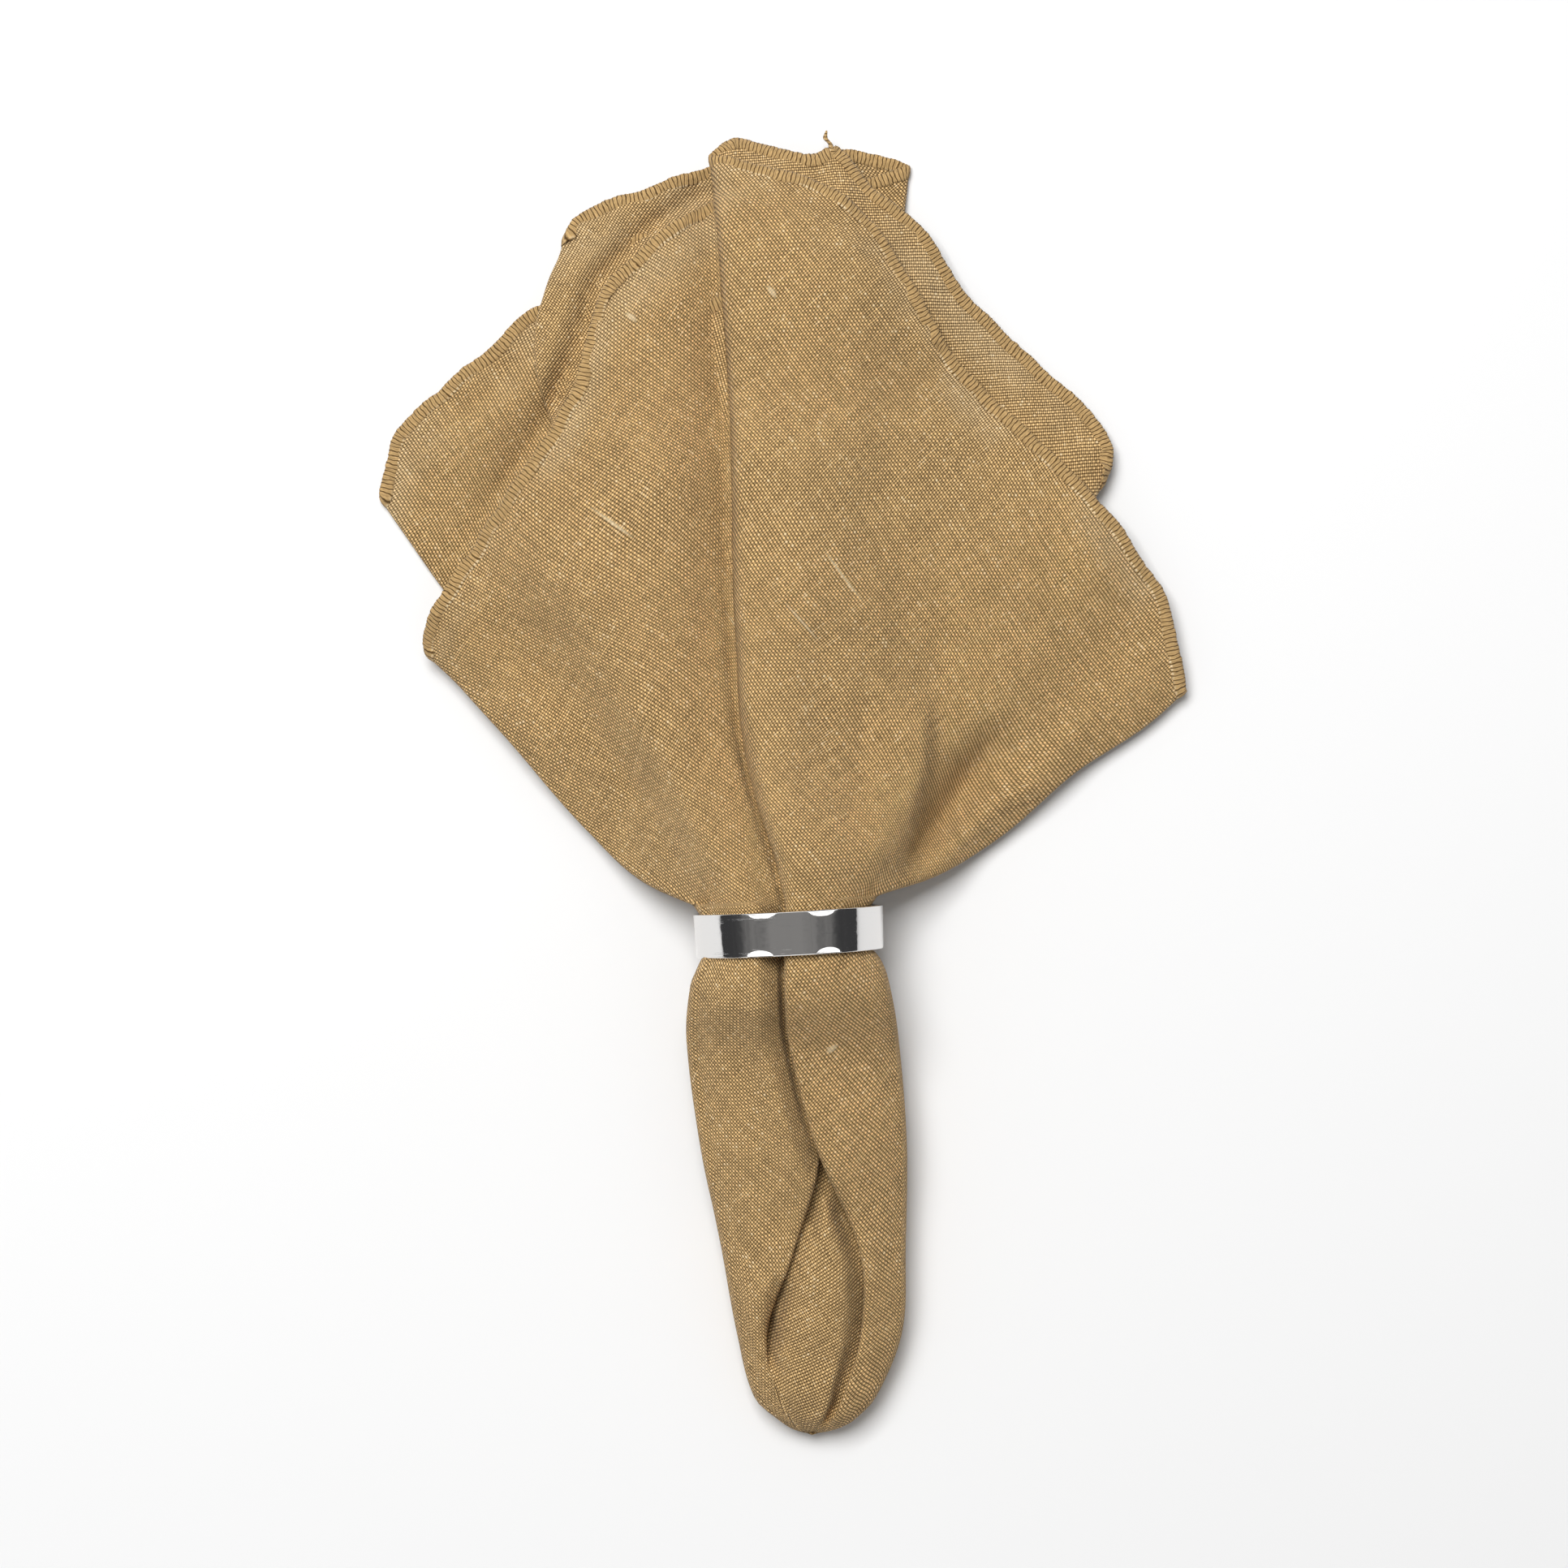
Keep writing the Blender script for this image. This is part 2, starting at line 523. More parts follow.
CREASE_STEPS = [1.0, 0.8, 0.6, 0.4, 0.25, 0.12, 0.04]
HEM_SHARES = [0.12, 0.2, 0.28, 0.36, 0.42, 0.48, 0.56, 0.66, 0.78, 0.9]
TROUGHS = [
    {"name": "slope down to the crease", "depth": 5.2, "left": 8.0, "right": 2.2, "fade": 0.04,
     "path": beside_crease(-0.8, CREASE_STEPS)},
    {"name": "slit beside the crease", "depth": 1.6, "left": 1.8, "right": 1.0, "fade": 0.3,
     "path": beside_crease(-0.5, CREASE_STEPS)},
    {"name": "shoulder of the left petal", "depth": -1.6, "left": 9.0, "right": 9.0,
     "path": beside_crease(-18.0, [0.7, 0.5, 0.3, 0.15])},
    {"name": "rolled edge", "depth": -6.0, "left": 9.0, "right": 2.4,
     "path": [(31.2, 25), (32.6, 16), (32.4, 7), (30.8, -1), (29.2, -7.4), (26.8, -15.5), (23.4, -24)]},
    {"name": "trough of the right petal", "depth": 7.4, "left": 5.0, "right": 4.5, "fade": 0.45,
     "path": [(54, 19), (48.6, 8), (44.6, 1.6), (40.8, -5), (35.8, -11), (31, -17), (27.2, -22)]},
    {"name": "edge of the right wing", "depth": -4.6, "left": 5.0, "right": 11.0,
     "path": [(76, 6), (58, -3), (46, -9.5), (38, -16), (31, -22.5)]},
    {"name": "foot of the rolled edge", "depth": 2.6, "left": 3.4, "right": 6.0, "fade": 0.7,
     "path": [(38.6, 26), (38, 9), (36.4, 0), (33.8, -7.4), (30.8, -15)]},
    {"name": "neck of the left petal", "depth": 1.6, "left": 4.0, "right": 4.0,
     "path": [(-30, -10), (-23, -18), (-19, -24)]},
    {"name": "valley beside the left hem", "depth": 4.6, "left": 3.6, "right": 1.2, "fade": 0.1,
     "path": beside_hem(LIFTED_PANEL, HEM_SHARES, 3.3)},
    {"name": "roll of the upper lobe", "depth": -2.4, "left": 4.0, "right": 4.5,
     "path": [(-36, 136), (-46, 122), (-51, 112), (-57, 99), (-65, 90), (-75, 81)]},
    {"name": "hollow behind the roll", "depth": 2.4, "left": 2.6, "right": 3.0,
     "path": [(-55, 114), (-60, 105), (-68, 96), (-78, 88)]},
    {"name": "soft hollow on the right petal", "depth": 1.2, "left": 8.0, "right": 8.0,
     "path": [(30, 108), (26, 74), (22, 40)]},
    {"name": "soft ridge on the right petal", "depth": -1.0, "left": 9.0, "right": 9.0,
     "path": [(50, 80), (46, 52), (40, 30)]},
    {"name": "hollow in the pocket", "depth": 3.0, "left": 1.8, "right": 5.0,
     "path": [(-1, -114), (-2.5, -124), (-3.6, -131), (-2.6, -137)]},
    {"name": "lip in the pocket", "depth": -2.0, "left": 1.6, "right": 1.8,
     "path": [(-4.2, -129), (-3.0, -133.5), (0.5, -136)]},
]
WAVE_SEED = 11
LONG_WAVE, SHORT_WAVE, HEM_WAVE = 0.55, 0.13, 0.3


def waves(x, y, shortest, longest, count, random):
    """Sum of cosines with random directions, random phases and wavelengths between two limits."""
    total = np.zeros_like(x)
    for _ in range(count):
        length = random.uniform(shortest, longest)
        turn = random.uniform(0, np.pi)
        phase = random.uniform(0, 2 * np.pi)
        total = total + np.cos(2 * np.pi * (x * np.cos(turn) + y * np.sin(turn)) / length + phase)
    return total * np.sqrt(2.0 / count)


def trough_depth(x, y, trough):
    """A bell across a path, with its own width on either side, fading out at the path's two ends."""
    nearest = np.full_like(x, 1e9)
    side = np.zeros_like(x)
    along = np.zeros_like(x)
    path = np.array(trough["path"], dtype=float)
    lengths = np.hypot(*np.diff(path, axis=0).T)
    total = lengths.sum()
    start = 0.0
    for k, length in enumerate(lengths):
        run = (path[k + 1] - path[k]) / length
        forward = np.clip((x - path[k, 0]) * run[0] + (y - path[k, 1]) * run[1], 0, length)
        off_x = x - path[k, 0] - forward * run[0]
        off_y = y - path[k, 1] - forward * run[1]
        away = np.hypot(off_x, off_y)
        closer = away < nearest
        nearest = np.where(closer, away, nearest)
        side = np.where(closer, off_x * -run[1] + off_y * run[0], side)
        along = np.where(closer, start + forward, along)
        start += length
    width = np.where(side > 0, trough["right"], trough["left"])
    fade = trough.get("fade", 0.3)
    ends = smoothstep(0, fade * total, along) * (1 - 0.4 * smoothstep(0.85 * total, total, along))
    return trough["depth"] * np.exp(-((nearest / width) ** 2)) * ends


def wrinkled(x, y, z, near_hem):
    """Height with troughs, long and short waves, all easing to nothing in the ring and on the table."""
    random = np.random.default_rng(WAVE_SEED)
    long_waves = LONG_WAVE * waves(x, y, 28, 60, 9, random)
    short_waves = SHORT_WAVE * waves(x, y, 8, 16, 12, random)
    hem_waves = HEM_WAVE * near_hem * waves(x, y, 12, 24, 9, random)
    change = long_waves + short_waves + hem_waves
    for trough in TROUGHS:
        change = change - trough_depth(x, y, trough)
    from_ring = np.abs(y - RING_Y - RING_LEAN * (x - RING_X))
    clear = smoothstep(RING_CLEAR_FROM, RING_CLEAR_TO, from_ring)
    room = smoothstep(WRINKLE_FROM_Z, WRINKLE_FULL_Z, z)
    return np.maximum(z + change * clear * room, HALF_CLOTH)


# %% [markdown]
# ## The cloth in its final shape
# Higher layers look larger from above, so the fan is drawn in by its height and its outline stays
# where it was seen. The hem line wavers a little, as a washed edge does, and then wrinkles are added.

# %% Shape the cloth
HEM_ZONE = 0.16
HEM_UNEVEN = 0.28


def shape_cloth(x, y, z, distance, in_tail):
    """Draws the fan in by its height over the view height, roughens the hem line, adds wrinkles."""
    outward = np.where(in_tail, 0.0, smoothstep(15, 60, distance))
    draw_in = 1 - outward * z / CAMERA_HEIGHT
    step = np.linspace(0, 1, FAN_ROWS + 1)[1:]
    hem_share = np.concatenate([np.zeros(TAIL_ROWS), smoothstep(1 - HEM_ZONE, 1, step)])[:, None]
    near_hem = np.broadcast_to(hem_share, x.shape)
    random = np.random.default_rng(WAVE_SEED + 1)
    uneven = HEM_UNEVEN * waves(x, y, 9, 26, 10, random) * near_hem
    turn = np.arctan2(x - RING_X, y - RING_Y)
    new_x = x * draw_in + uneven * np.sin(turn) * outward
    new_y = y * draw_in + uneven * np.cos(turn) * outward
    return new_x, new_y, wrinkled(new_x, new_y, z, near_hem), near_hem


flat_x, flat_y, flat_z = cloth_x, cloth_y, cloth_z
cloth_x, cloth_y, cloth_z, near_hem = shape_cloth(flat_x, flat_y, flat_z, cloth_distance, cloth_in_tail)
print("wrinkles change the height by up to", round(float(np.abs(cloth_z - flat_z).max()), 2), "mm")

# %% [markdown]
# ## Laying the weave on the cloth
# Linen does not stretch, so its weave has the same size all over. Each panel gets its own map: its
# place seen from above, lengthened where the cloth slopes, and turned to the direction of its
# threads. The maps meet along the folds, where a real cloth shows its threads mirrored as well.

# %% Weave map
GRAIN_DEGREES = [40, 96, 118, 20, 56, 40, 146, 30, 32, 15, 35, 70]
THREAD_WANDER = 0.5
MAP_SMOOTHING = 300


def panel_spans():
    """First and last grid column of each panel, from the middle of one fold to that of the next."""
    starts = []
    column = 0
    for panel in PANELS:
        starts.append(column + FOLD_COLUMNS // 2)
        column += FOLD_COLUMNS + panel["columns"] + 1
    ends = starts[1:] + [column + FOLD_COLUMNS // 2]
    return list(zip(starts, ends))


PANEL_SPANS = panel_spans()


def smooth_rows(values, passes):
    """Each row becomes the mean of itself and its two neighbours, many times."""
    for _ in range(passes):
        padded = np.concatenate([values[:1], values, values[-1:]])
        values = (padded[:-2] + 2 * values + padded[2:]) / 4
    return values


def weave_map(index):
    """Plan of a panel plus the length its slopes add, turned by its grain, in metres."""
    first, last = PANEL_SPANS[index]
    columns = np.arange(first, last + 1) % COLUMNS
    x, y, z = cloth_x[:, columns], cloth_y[:, columns], cloth_z[:, columns]
    across_xy = np.hypot(np.diff(x, axis=1), np.diff(y, axis=1))
    across_xyz = np.sqrt(across_xy ** 2 + np.diff(z, axis=1) ** 2)
    extra = np.zeros_like(x)
    extra[:, 1:] = np.cumsum(across_xyz - across_xy, axis=1)
    extra = smooth_rows(extra - extra[:, [x.shape[1] // 2]], MAP_SMOOTHING)
    chord_x = x[:, [-1]] - x[:, [0]]
    chord_y = y[:, [-1]] - y[:, [0]]
    chord = np.maximum(np.hypot(chord_x, chord_y), 1e-6)
    along_xy = np.hypot(np.diff(x, axis=0), np.diff(y, axis=0))
    along_xyz = np.sqrt(along_xy ** 2 + np.diff(z, axis=0) ** 2)
    further = np.zeros_like(x)
    further[1:, :] = np.cumsum(along_xyz - along_xy, axis=0)
    further = smooth_rows((further - further[[TAIL_ROWS], :]).T, MAP_SMOOTHING).T
    turn = np.where(cloth_in_tail[:, columns], 0.0, np.arctan2(x - RING_X, y - RING_Y))
    plan_x = x + extra * chord_x / chord + further * np.sin(turn)
    plan_y = y + extra * chord_y / chord + further * np.cos(turn)
    random = np.random.default_rng(WAVE_SEED + 2)
    plan_x = plan_x + THREAD_WANDER * waves(x, y, 35, 70, 6, random)
    plan_y = plan_y + THREAD_WANDER * waves(x, y, 35, 70, 6, random)
    grain = np.radians(GRAIN_DEGREES[index])
    u = plan_x * np.cos(grain) + plan_y * np.sin(grain)
    v = plan_y * np.cos(grain) - plan_x * np.sin(grain)
    return columns, u * MILLIMETRE, v * MILLIMETRE


# %% [markdown]
# ## Making the cloth's mesh
# The grid becomes one sheet, open at the hem and closed at the tip, where all columns meet in one
# point. It is the middle of the cloth. Its thickness is small against its folds, and shows only
# at the hem, which is a piece of its own. Whole arrays go into the mesh, so this takes no loop.

# %% Mesh helpers
def new_mesh(name, points, corners, sizes):
    """A mesh from an array of points in metres and one flat list of face corners."""
    mesh = bpy.data.meshes.new(name)
    mesh.vertices.add(len(points))
    mesh.vertices.foreach_set("co", np.asarray(points, dtype=np.float32).ravel())
    mesh.loops.add(len(corners))
    mesh.loops.foreach_set("vertex_index", np.asarray(corners, dtype=np.int32))
    mesh.polygons.add(len(sizes))
    starts = np.concatenate([[0], np.cumsum(sizes)[:-1]])
    mesh.polygons.foreach_set("loop_start", np.asarray(starts, dtype=np.int32))
    mesh.polygons.foreach_set("use_smooth", np.ones(len(sizes), dtype=bool))
    mesh.update(calc_edges=True)
    mesh.validate()
    piece = bpy.data.objects.new(name, mesh)
    bpy.context.collection.objects.link(piece)
    return piece


def put_map(piece, name, u, v):
    """A map with one pair of values for each face corner."""
    layer = piece.data.uv_layers.new(name=name)
    layer.data.foreach_set("uv", np.stack([u, v], axis=1).astype(np.float32).ravel())


def put_values(piece, name, values):
    """One number for each point of the mesh."""
    layer = piece.data.attributes.new(name=name, type="FLOAT", domain="POINT")
    layer.data.foreach_set("value", np.asarray(values, dtype=np.float32).ravel())


def grid_quads(rows, columns, closed):
    """Quads of a grid whose columns go round, with the row and column of each corner for a map."""
    row, column = np.meshgrid(np.arange(rows if closed else rows - 1), np.arange(columns), indexing="ij")
    row_after, column_after = (row + 1) % rows, (column + 1) % columns
    quads = np.stack([
        row * columns + column,
        row * columns + column_after,
        row_after * columns + column_after,
        row_after * columns + column,
    ], axis=-1).reshape(-1, 4)
    map_row = np.stack([row, row, row + 1, row + 1], axis=-1).ravel()
    map_column = np.stack([column, column + 1, column + 1, column], axis=-1).ravel()
    return quads, map_row, map_column


def to_metres(x, y, z):
    """Table millimetres to the part's metres, with the part's middle over the origin."""
    return np.stack([x + MIDDLE_X, y + MIDDLE_Y, z], axis=-1) * MILLIMETRE


# %% Napkin mesh
def cloth_faces():
    """Quads between neighbouring rows and columns, and triangles from the first row to the tip."""
    quads = grid_quads(ROWS, COLUMNS, False)[0][:, [0, 3, 2, 1]]
    ring_of = np.arange(COLUMNS)
    tip_index = ROWS * COLUMNS
    triangles = np.stack([np.full(COLUMNS, tip_index), ring_of, (ring_of + 1) % COLUMNS], axis=-1)
    return quads, triangles


def corner_maps(quads, triangles):
    """Weave map at every face corner, each face taking the map of the panel it belongs to."""
    u = np.zeros((len(quads), 4))
    v = np.zeros((len(quads), 4))
    tip_u = np.zeros((len(triangles), 3))
    tip_v = np.zeros((len(triangles), 3))
    by_face = np.arange(len(quads)).reshape(ROWS - 1, COLUMNS)
    for index in range(len(PANELS)):
        columns, map_u, map_v = weave_map(index)
        faces = by_face[:, columns[:-1]]
        for values, target, tip in ((map_u, u, tip_u), (map_v, v, tip_v)):
            target[faces, 0] = values[:-1, :-1]
            target[faces, 1] = values[1:, :-1]
            target[faces, 2] = values[1:, 1:]
            target[faces, 3] = values[:-1, 1:]
            tip[columns[:-1], 0] = 2 * values[0, :-1] - values[1, :-1]
            tip[columns[:-1], 1] = values[0, :-1]
            tip[columns[:-1], 2] = values[0, 1:]
    return np.concatenate([u.ravel(), tip_u.ravel()]), np.concatenate([v.ravel(), tip_v.ravel()])


quads, tip_triangles = cloth_faces()
cloth_points = to_metres(cloth_x, cloth_y, cloth_z).reshape(-1, 3)
cloth_points = np.concatenate([cloth_points, to_metres(TIP_X, TIP_Y, TIP_Z)[None, :]])
corners = np.concatenate([quads.ravel(), tip_triangles.ravel()])
sizes = np.concatenate([np.full(len(quads), 4), np.full(len(tip_triangles), 3)])
napkin = new_mesh("linen_napkin", cloth_points, corners, sizes)
put_map(napkin, "weave", *corner_maps(quads, tip_triangles))
put_values(napkin, "near_hem", np.concatenate([near_hem.ravel(), [0.0]]))
print("napkin", 2 * len(quads) + len(tip_triangles), "triangles")

# %% [markdown]
# ## The overlocked hem
# An overlock machine trims the edge and wraps it in threads, which pull it into a soft, wavy cord.
# The hem is one flattened tube carried along the edge of the cloth. Ribs across it, one for each
# stitch, swell and sink along its way. It follows the edge round all twelve folds.

# %% Hem path
HEM_WIDTH = 3.3
HEM_THICK = 0.95
HEM_OVERHANG = 0.35
STITCH = 1.0
POINTS_PER_STITCH = 4
HEM_PROFILE = 10


def even_path(points, gap):
    """A closed line read again at even steps, with the steps' places along the old points."""
    closed = np.concatenate([points, points[:1]])
    lengths = np.linalg.norm(np.diff(closed, axis=0), axis=1)
    travelled = np.concatenate([[0], np.cumsum(lengths)])
    count = int(round(travelled[-1] / gap))
    places = np.linspace(0, travelled[-1], count, endpoint=False)
    even = np.stack([np.interp(places, travelled, closed[:, k]) for k in range(3)], axis=1)
    return even, travelled, places


def smooth_closed(values, passes):
    """Each value of a closed line becomes the mean of itself and its two neighbours, many times."""
    for _ in range(passes):
        values = (np.roll(values, 1, axis=0) + 2 * values + np.roll(values, -1, axis=0)) / 4
    return values


def unit(vectors):
    """Vectors divided by their lengths."""
    return vectors / np.maximum(np.linalg.norm(vectors, axis=-1, keepdims=True), 1e-9)


def hem_frame():
    """Along the edge: its points, the way along, the way out of the cloth, and the cloth's normal."""
    edge = np.stack([cloth_x[-1], cloth_y[-1], cloth_z[-1]], axis=1)
    inner = np.stack([cloth_x[-4], cloth_y[-4], cloth_z[-4]], axis=1)
    points, travelled, places = even_path(edge, STITCH / POINTS_PER_STITCH)
    closed_inner = np.concatenate([inner, inner[:1]])
    inside = np.stack([np.interp(places, travelled, closed_inner[:, k]) for k in range(3)], axis=1)
    points = smooth_closed(points, 4)
    along = unit(smooth_closed(np.roll(points, -1, axis=0) - np.roll(points, 1, axis=0), 3))
    out = unit(smooth_closed(points - inside, 12))
    level_run = smooth_closed(1 - smoothstep(0.2, 0.6, np.abs(along[:, 2:3])), 30)
    out = unit(out - along * np.sum(out * along, axis=1, keepdims=True) * level_run)
    normal = unit(np.cross(out, along))
    return points, along, out, normal, places


hem_points, hem_along, hem_out, hem_normal, hem_places = hem_frame()
print("hem", round(float(hem_places[-1]) / 1000, 2), "m round,", len(hem_points), "rows")


# %% [markdown]
# ## Ribs and a loose end
# The hem's section is thick outside, where the threads turn round the edge, and thin inside, where
# its stitches enter the cloth. At the top corner the thread's end stands off as a short, bent,
# twisted tail.

# %% Hem mesh
def hem_surface():
    """A flattened oval carried along the edge, swollen at every stitch by a rounded sine."""
    random = np.random.default_rng(WAVE_SEED + 3)
    places = np.linspace(0, hem_places[-1], 1500)
    slow = np.interp(hem_places, places, random.normal(size=1500))[:, None]
    quick = np.interp(hem_places, places, random.normal(size=1500))[:, None]
    stitch = hem_places[:, None] / STITCH + 0.16 * slow
    around = 2 * np.pi * (np.arange(HEM_PROFILE) + 0.5) / HEM_PROFILE
    across = np.cos(around)[None, :]
    upwards = np.sin(around)[None, :]
    rib = np.abs(np.sin(np.pi * (stitch + 0.22 * across))) ** 0.8
    bead = 0.5 + 0.5 * np.cos(2 * np.pi * stitch)
    inner = np.exp(-(((across + 0.6) / 0.35) ** 2))
    outer = np.clip(across, 0, 1) ** 2
    half_width = HEM_WIDTH / 2 * (1 + 0.035 * slow + outer * (0.10 * (rib - 0.6) + 0.05 * quick))
    half_thick = HEM_THICK / 2 * (0.74 + 0.22 * rib * (1 - inner) + inner * 0.45 * bead + 0.05 * quick)
    middle = HEM_OVERHANG - HEM_WIDTH / 2
    sideways = middle + half_width * across
    half_thick = half_thick * (0.3 + 0.7 * smoothstep(-1.0, 0.1, across))
    high = half_thick * np.sign(upwards) * np.abs(upwards) ** 0.75
    surface = hem_points[:, None, :] + sideways[..., None] * hem_out[:, None, :]
    return surface + high[..., None] * hem_normal[:, None, :]


THREAD_END_ROWS = 26
THREAD_END_LENGTH = 5.4
THREAD_CORNER = (11.8, 149.8)
THREAD_END_RADII = [1.0, 0.75, 0.55, 0.6, 0.45, 0.2]
THREAD_END_BEND = [0, 0.25, 0.1, -0.35, -0.3, 0.3]


def thread_end():
    """A tube from the corner outwards: its middle by a table of bends, its radius by another."""
    away = np.hypot(hem_points[:, 0] - THREAD_CORNER[0], hem_points[:, 1] - THREAD_CORNER[1])
    corner = hem_points[np.argmin(away - 0.1 * hem_points[:, 2])]
    share = np.linspace(0, 1, THREAD_END_ROWS)
    knots = np.linspace(0, 1, len(THREAD_END_RADII))
    middle = np.stack([
        corner[0] - 1.8 * share + read_smooth(knots, THREAD_END_BEND, share),
        corner[1] - 1.4 + THREAD_END_LENGTH * share,
        corner[2] + 0.5 * share,
    ], axis=1)
    around = 2 * np.pi * np.arange(HEM_PROFILE) / HEM_PROFILE
    twist = 1 + 0.22 * np.cos(around[None, :] - 14 * share[:, None])
    radius = read_smooth(knots, THREAD_END_RADII, share)[:, None] * twist
    circle = np.stack([radius * np.cos(around), 0 * radius, radius * np.sin(around)], axis=-1)
    return middle[:, None, :] + circle


def tube_faces(rows, closed, first):
    """Quads of a tube whose points begin at first, and their map along it and round it."""
    quads, along, turn = grid_quads(rows, HEM_PROFILE, closed)
    return first + quads, along * STITCH / POINTS_PER_STITCH, turn / HEM_PROFILE * 2 * HEM_WIDTH


hem_surface_points = hem_surface()
hem_surface_points[..., 2] = np.maximum(hem_surface_points[..., 2], 0.02)
end_points = thread_end()
end_first = len(hem_points) * HEM_PROFILE
hem_quads, hem_u, hem_v = tube_faces(len(hem_points), True, 0)
end_quads, end_u, end_v = tube_faces(THREAD_END_ROWS, False, end_first)
end_quads = end_quads[:, ::-1]
end_u, end_v = (values.reshape(-1, 4)[:, ::-1].ravel() for values in (end_u, end_v))
end_caps = end_first + np.concatenate([
    np.arange(HEM_PROFILE),
    (THREAD_END_ROWS - 1) * HEM_PROFILE + np.arange(HEM_PROFILE)[::-1],
])
all_points = np.concatenate([hem_surface_points.reshape(-1, 3), end_points.reshape(-1, 3)])
hem = new_mesh(
    "overlock_hem",
    to_metres(all_points[:, 0], all_points[:, 1], all_points[:, 2]),
    np.concatenate([hem_quads.ravel(), end_quads.ravel(), end_caps]),
    np.concatenate([np.full(len(hem_quads) + len(end_quads), 4), np.full(2, HEM_PROFILE)]),
)
cap_map = np.zeros(2 * HEM_PROFILE)
put_map(hem, "stitches", np.concatenate([hem_u, end_u, cap_map]) * MILLIMETRE,
        np.concatenate([hem_v, end_v, cap_map]) * MILLIMETRE)
print("hem", 2 * (len(hem_quads) + len(end_quads) + HEM_PROFILE - 2), "triangles")

# %% [markdown]
# ## The polished ring
# The ring is bent from a flat strip of metal and polished. Its section is a thin rectangle with
# rounded corners, turned once round the ring's axis. Polishing has worn a flat, lens-shaped facet
# into each rim in two places near the top. These facets lean outwards and catch the light.

# %% Ring mesh
RING_SEGMENTS = 360
CORNER_POINTS = 5
CORNER = 0.24
FACET_WIDTH = 1.55
FACET_SLOPE = np.tan(np.radians(15.0))
FACETS_FAN_SIDE = [(106.0, 10.0), (69.5, 9.0)]
FACETS_TAIL_SIDE = [(108.6, 8.5), (66.0, 8.0)]
FACE_PLACES = np.array([0.985, 0.95, 0.91, 0.87, 0.83, 0.79, 0.75, 0.7, 0.6, 0.3])


def facet_depth(around, width):
    """A plane leaning off from a lens outline: half an ellipse along the rim, sloped by its width."""
    depth = np.zeros(np.broadcast(around, width).shape)
    half = RING_WIDTH / 2
    for facets, inwards in ((FACETS_FAN_SIDE, half - width), (FACETS_TAIL_SIDE, half + width)):
        for place, spread in facets:
            reach = np.sqrt(np.clip(1 - ((np.degrees(around) - place) / spread) ** 2, 0, 1))
            depth = np.maximum(depth, FACET_SLOPE * (FACET_WIDTH * reach - inwards))
    return np.maximum(depth, 0.0)


def ring_surface():
    """Rounded rectangle turned round the axis: radius by cosine and sine, width along the axis."""
    around = (2 * np.pi * np.arange(RING_SEGMENTS) / RING_SEGMENTS)[:, None]
    turn = np.linspace(0, np.pi / 2, CORNER_POINTS)
    half = RING_WIDTH / 2
    flat = np.concatenate([FACE_PLACES, [0.0], -FACE_PLACES[::-1]]) * (half - CORNER)
    width = np.concatenate([
        half - CORNER * (1 - np.sin(turn)),
        half - CORNER * (1 - np.cos(turn)),
        flat,
        -half + CORNER * (1 - np.sin(turn)),
        -half + CORNER * (1 - np.cos(turn)),
        -flat,
    ])[None, :]
    depth = np.concatenate([
        CORNER * (1 - np.cos(turn)),
        RING_WALL - CORNER * (1 - np.sin(turn)),
        RING_WALL + 0 * flat,
        RING_WALL - CORNER * (1 - np.cos(turn)),
        CORNER * (1 - np.sin(turn)),
        0 * flat,
    ])[None, :]
    depth = depth + facet_depth(around, width) * (1 - depth / RING_WALL)
    middle_radius = (RING_OUTER_FAN_SIDE + RING_OUTER_TAIL_SIDE) / 2
    taper = (RING_OUTER_FAN_SIDE - RING_OUTER_TAIL_SIDE) / RING_WIDTH
    radius = middle_radius + taper * width - depth
    across = radius * np.cos(around)
    high = radius * np.sin(around)
    x = RING_X + across * np.cos(RING_TURN) - width * np.sin(RING_TURN)
    y = RING_Y + across * np.sin(RING_TURN) + width * np.cos(RING_TURN)
    return x, y, RING_HEIGHT + high


ring_x, ring_y, ring_z = ring_surface()
ring_profile = ring_x.shape[1]
ring_quads, ring_along, ring_turn = grid_quads(RING_SEGMENTS, ring_profile, True)
ring = new_mesh(
    "polished_ring",
    to_metres(ring_x, ring_y, ring_z).reshape(-1, 3),
    ring_quads.ravel(),
    np.full(len(ring_quads), 4),
)
RING_ROUND = 2 * np.pi * RING_OUTER_FAN_SIDE
ring_u = ring_along / RING_SEGMENTS * RING_ROUND
ring_v = ring_turn / ring_profile * 2 * RING_WIDTH
put_map(ring, "strip", ring_u * MILLIMETRE, ring_v * MILLIMETRE)
print("ring", 2 * len(ring_quads), "triangles")

# %% [markdown]
# ## Building materials from small steps
# A material is a chain of nodes, and most steps of a weave are plain arithmetic. Short helpers add
# one node each and join it up, so that a formula can be read as one line. They are used for the
# shared effects, which are node groups with named inputs and outputs.

# %% Node helpers
def join(tree, value, socket):
    """A number or colour is set on the socket, and another node's output is linked to it."""
    if isinstance(value, bpy.types.NodeSocket):
        tree.links.new(value, socket)
    else:
        socket.default_value = value


def maths(tree, operation, first, second=None, third=None):
    """One Math node: its operation on up to three numbers."""
    node = tree.nodes.new("ShaderNodeMath")
    node.operation = operation
    for value, socket in zip((first, second, third), node.inputs):
        if value is not None:
            join(tree, value, socket)
    return node.outputs[0]


def blend_numbers(tree, share, low, high):
    """low + share (high - low), kept between low and high."""
    node = tree.nodes.new("ShaderNodeMix")
    node.data_type = "FLOAT"
    join(tree, share, node.inputs["Factor"])
    join(tree, low, node.inputs[2])
    join(tree, high, node.inputs[3])
    return node.outputs[0]


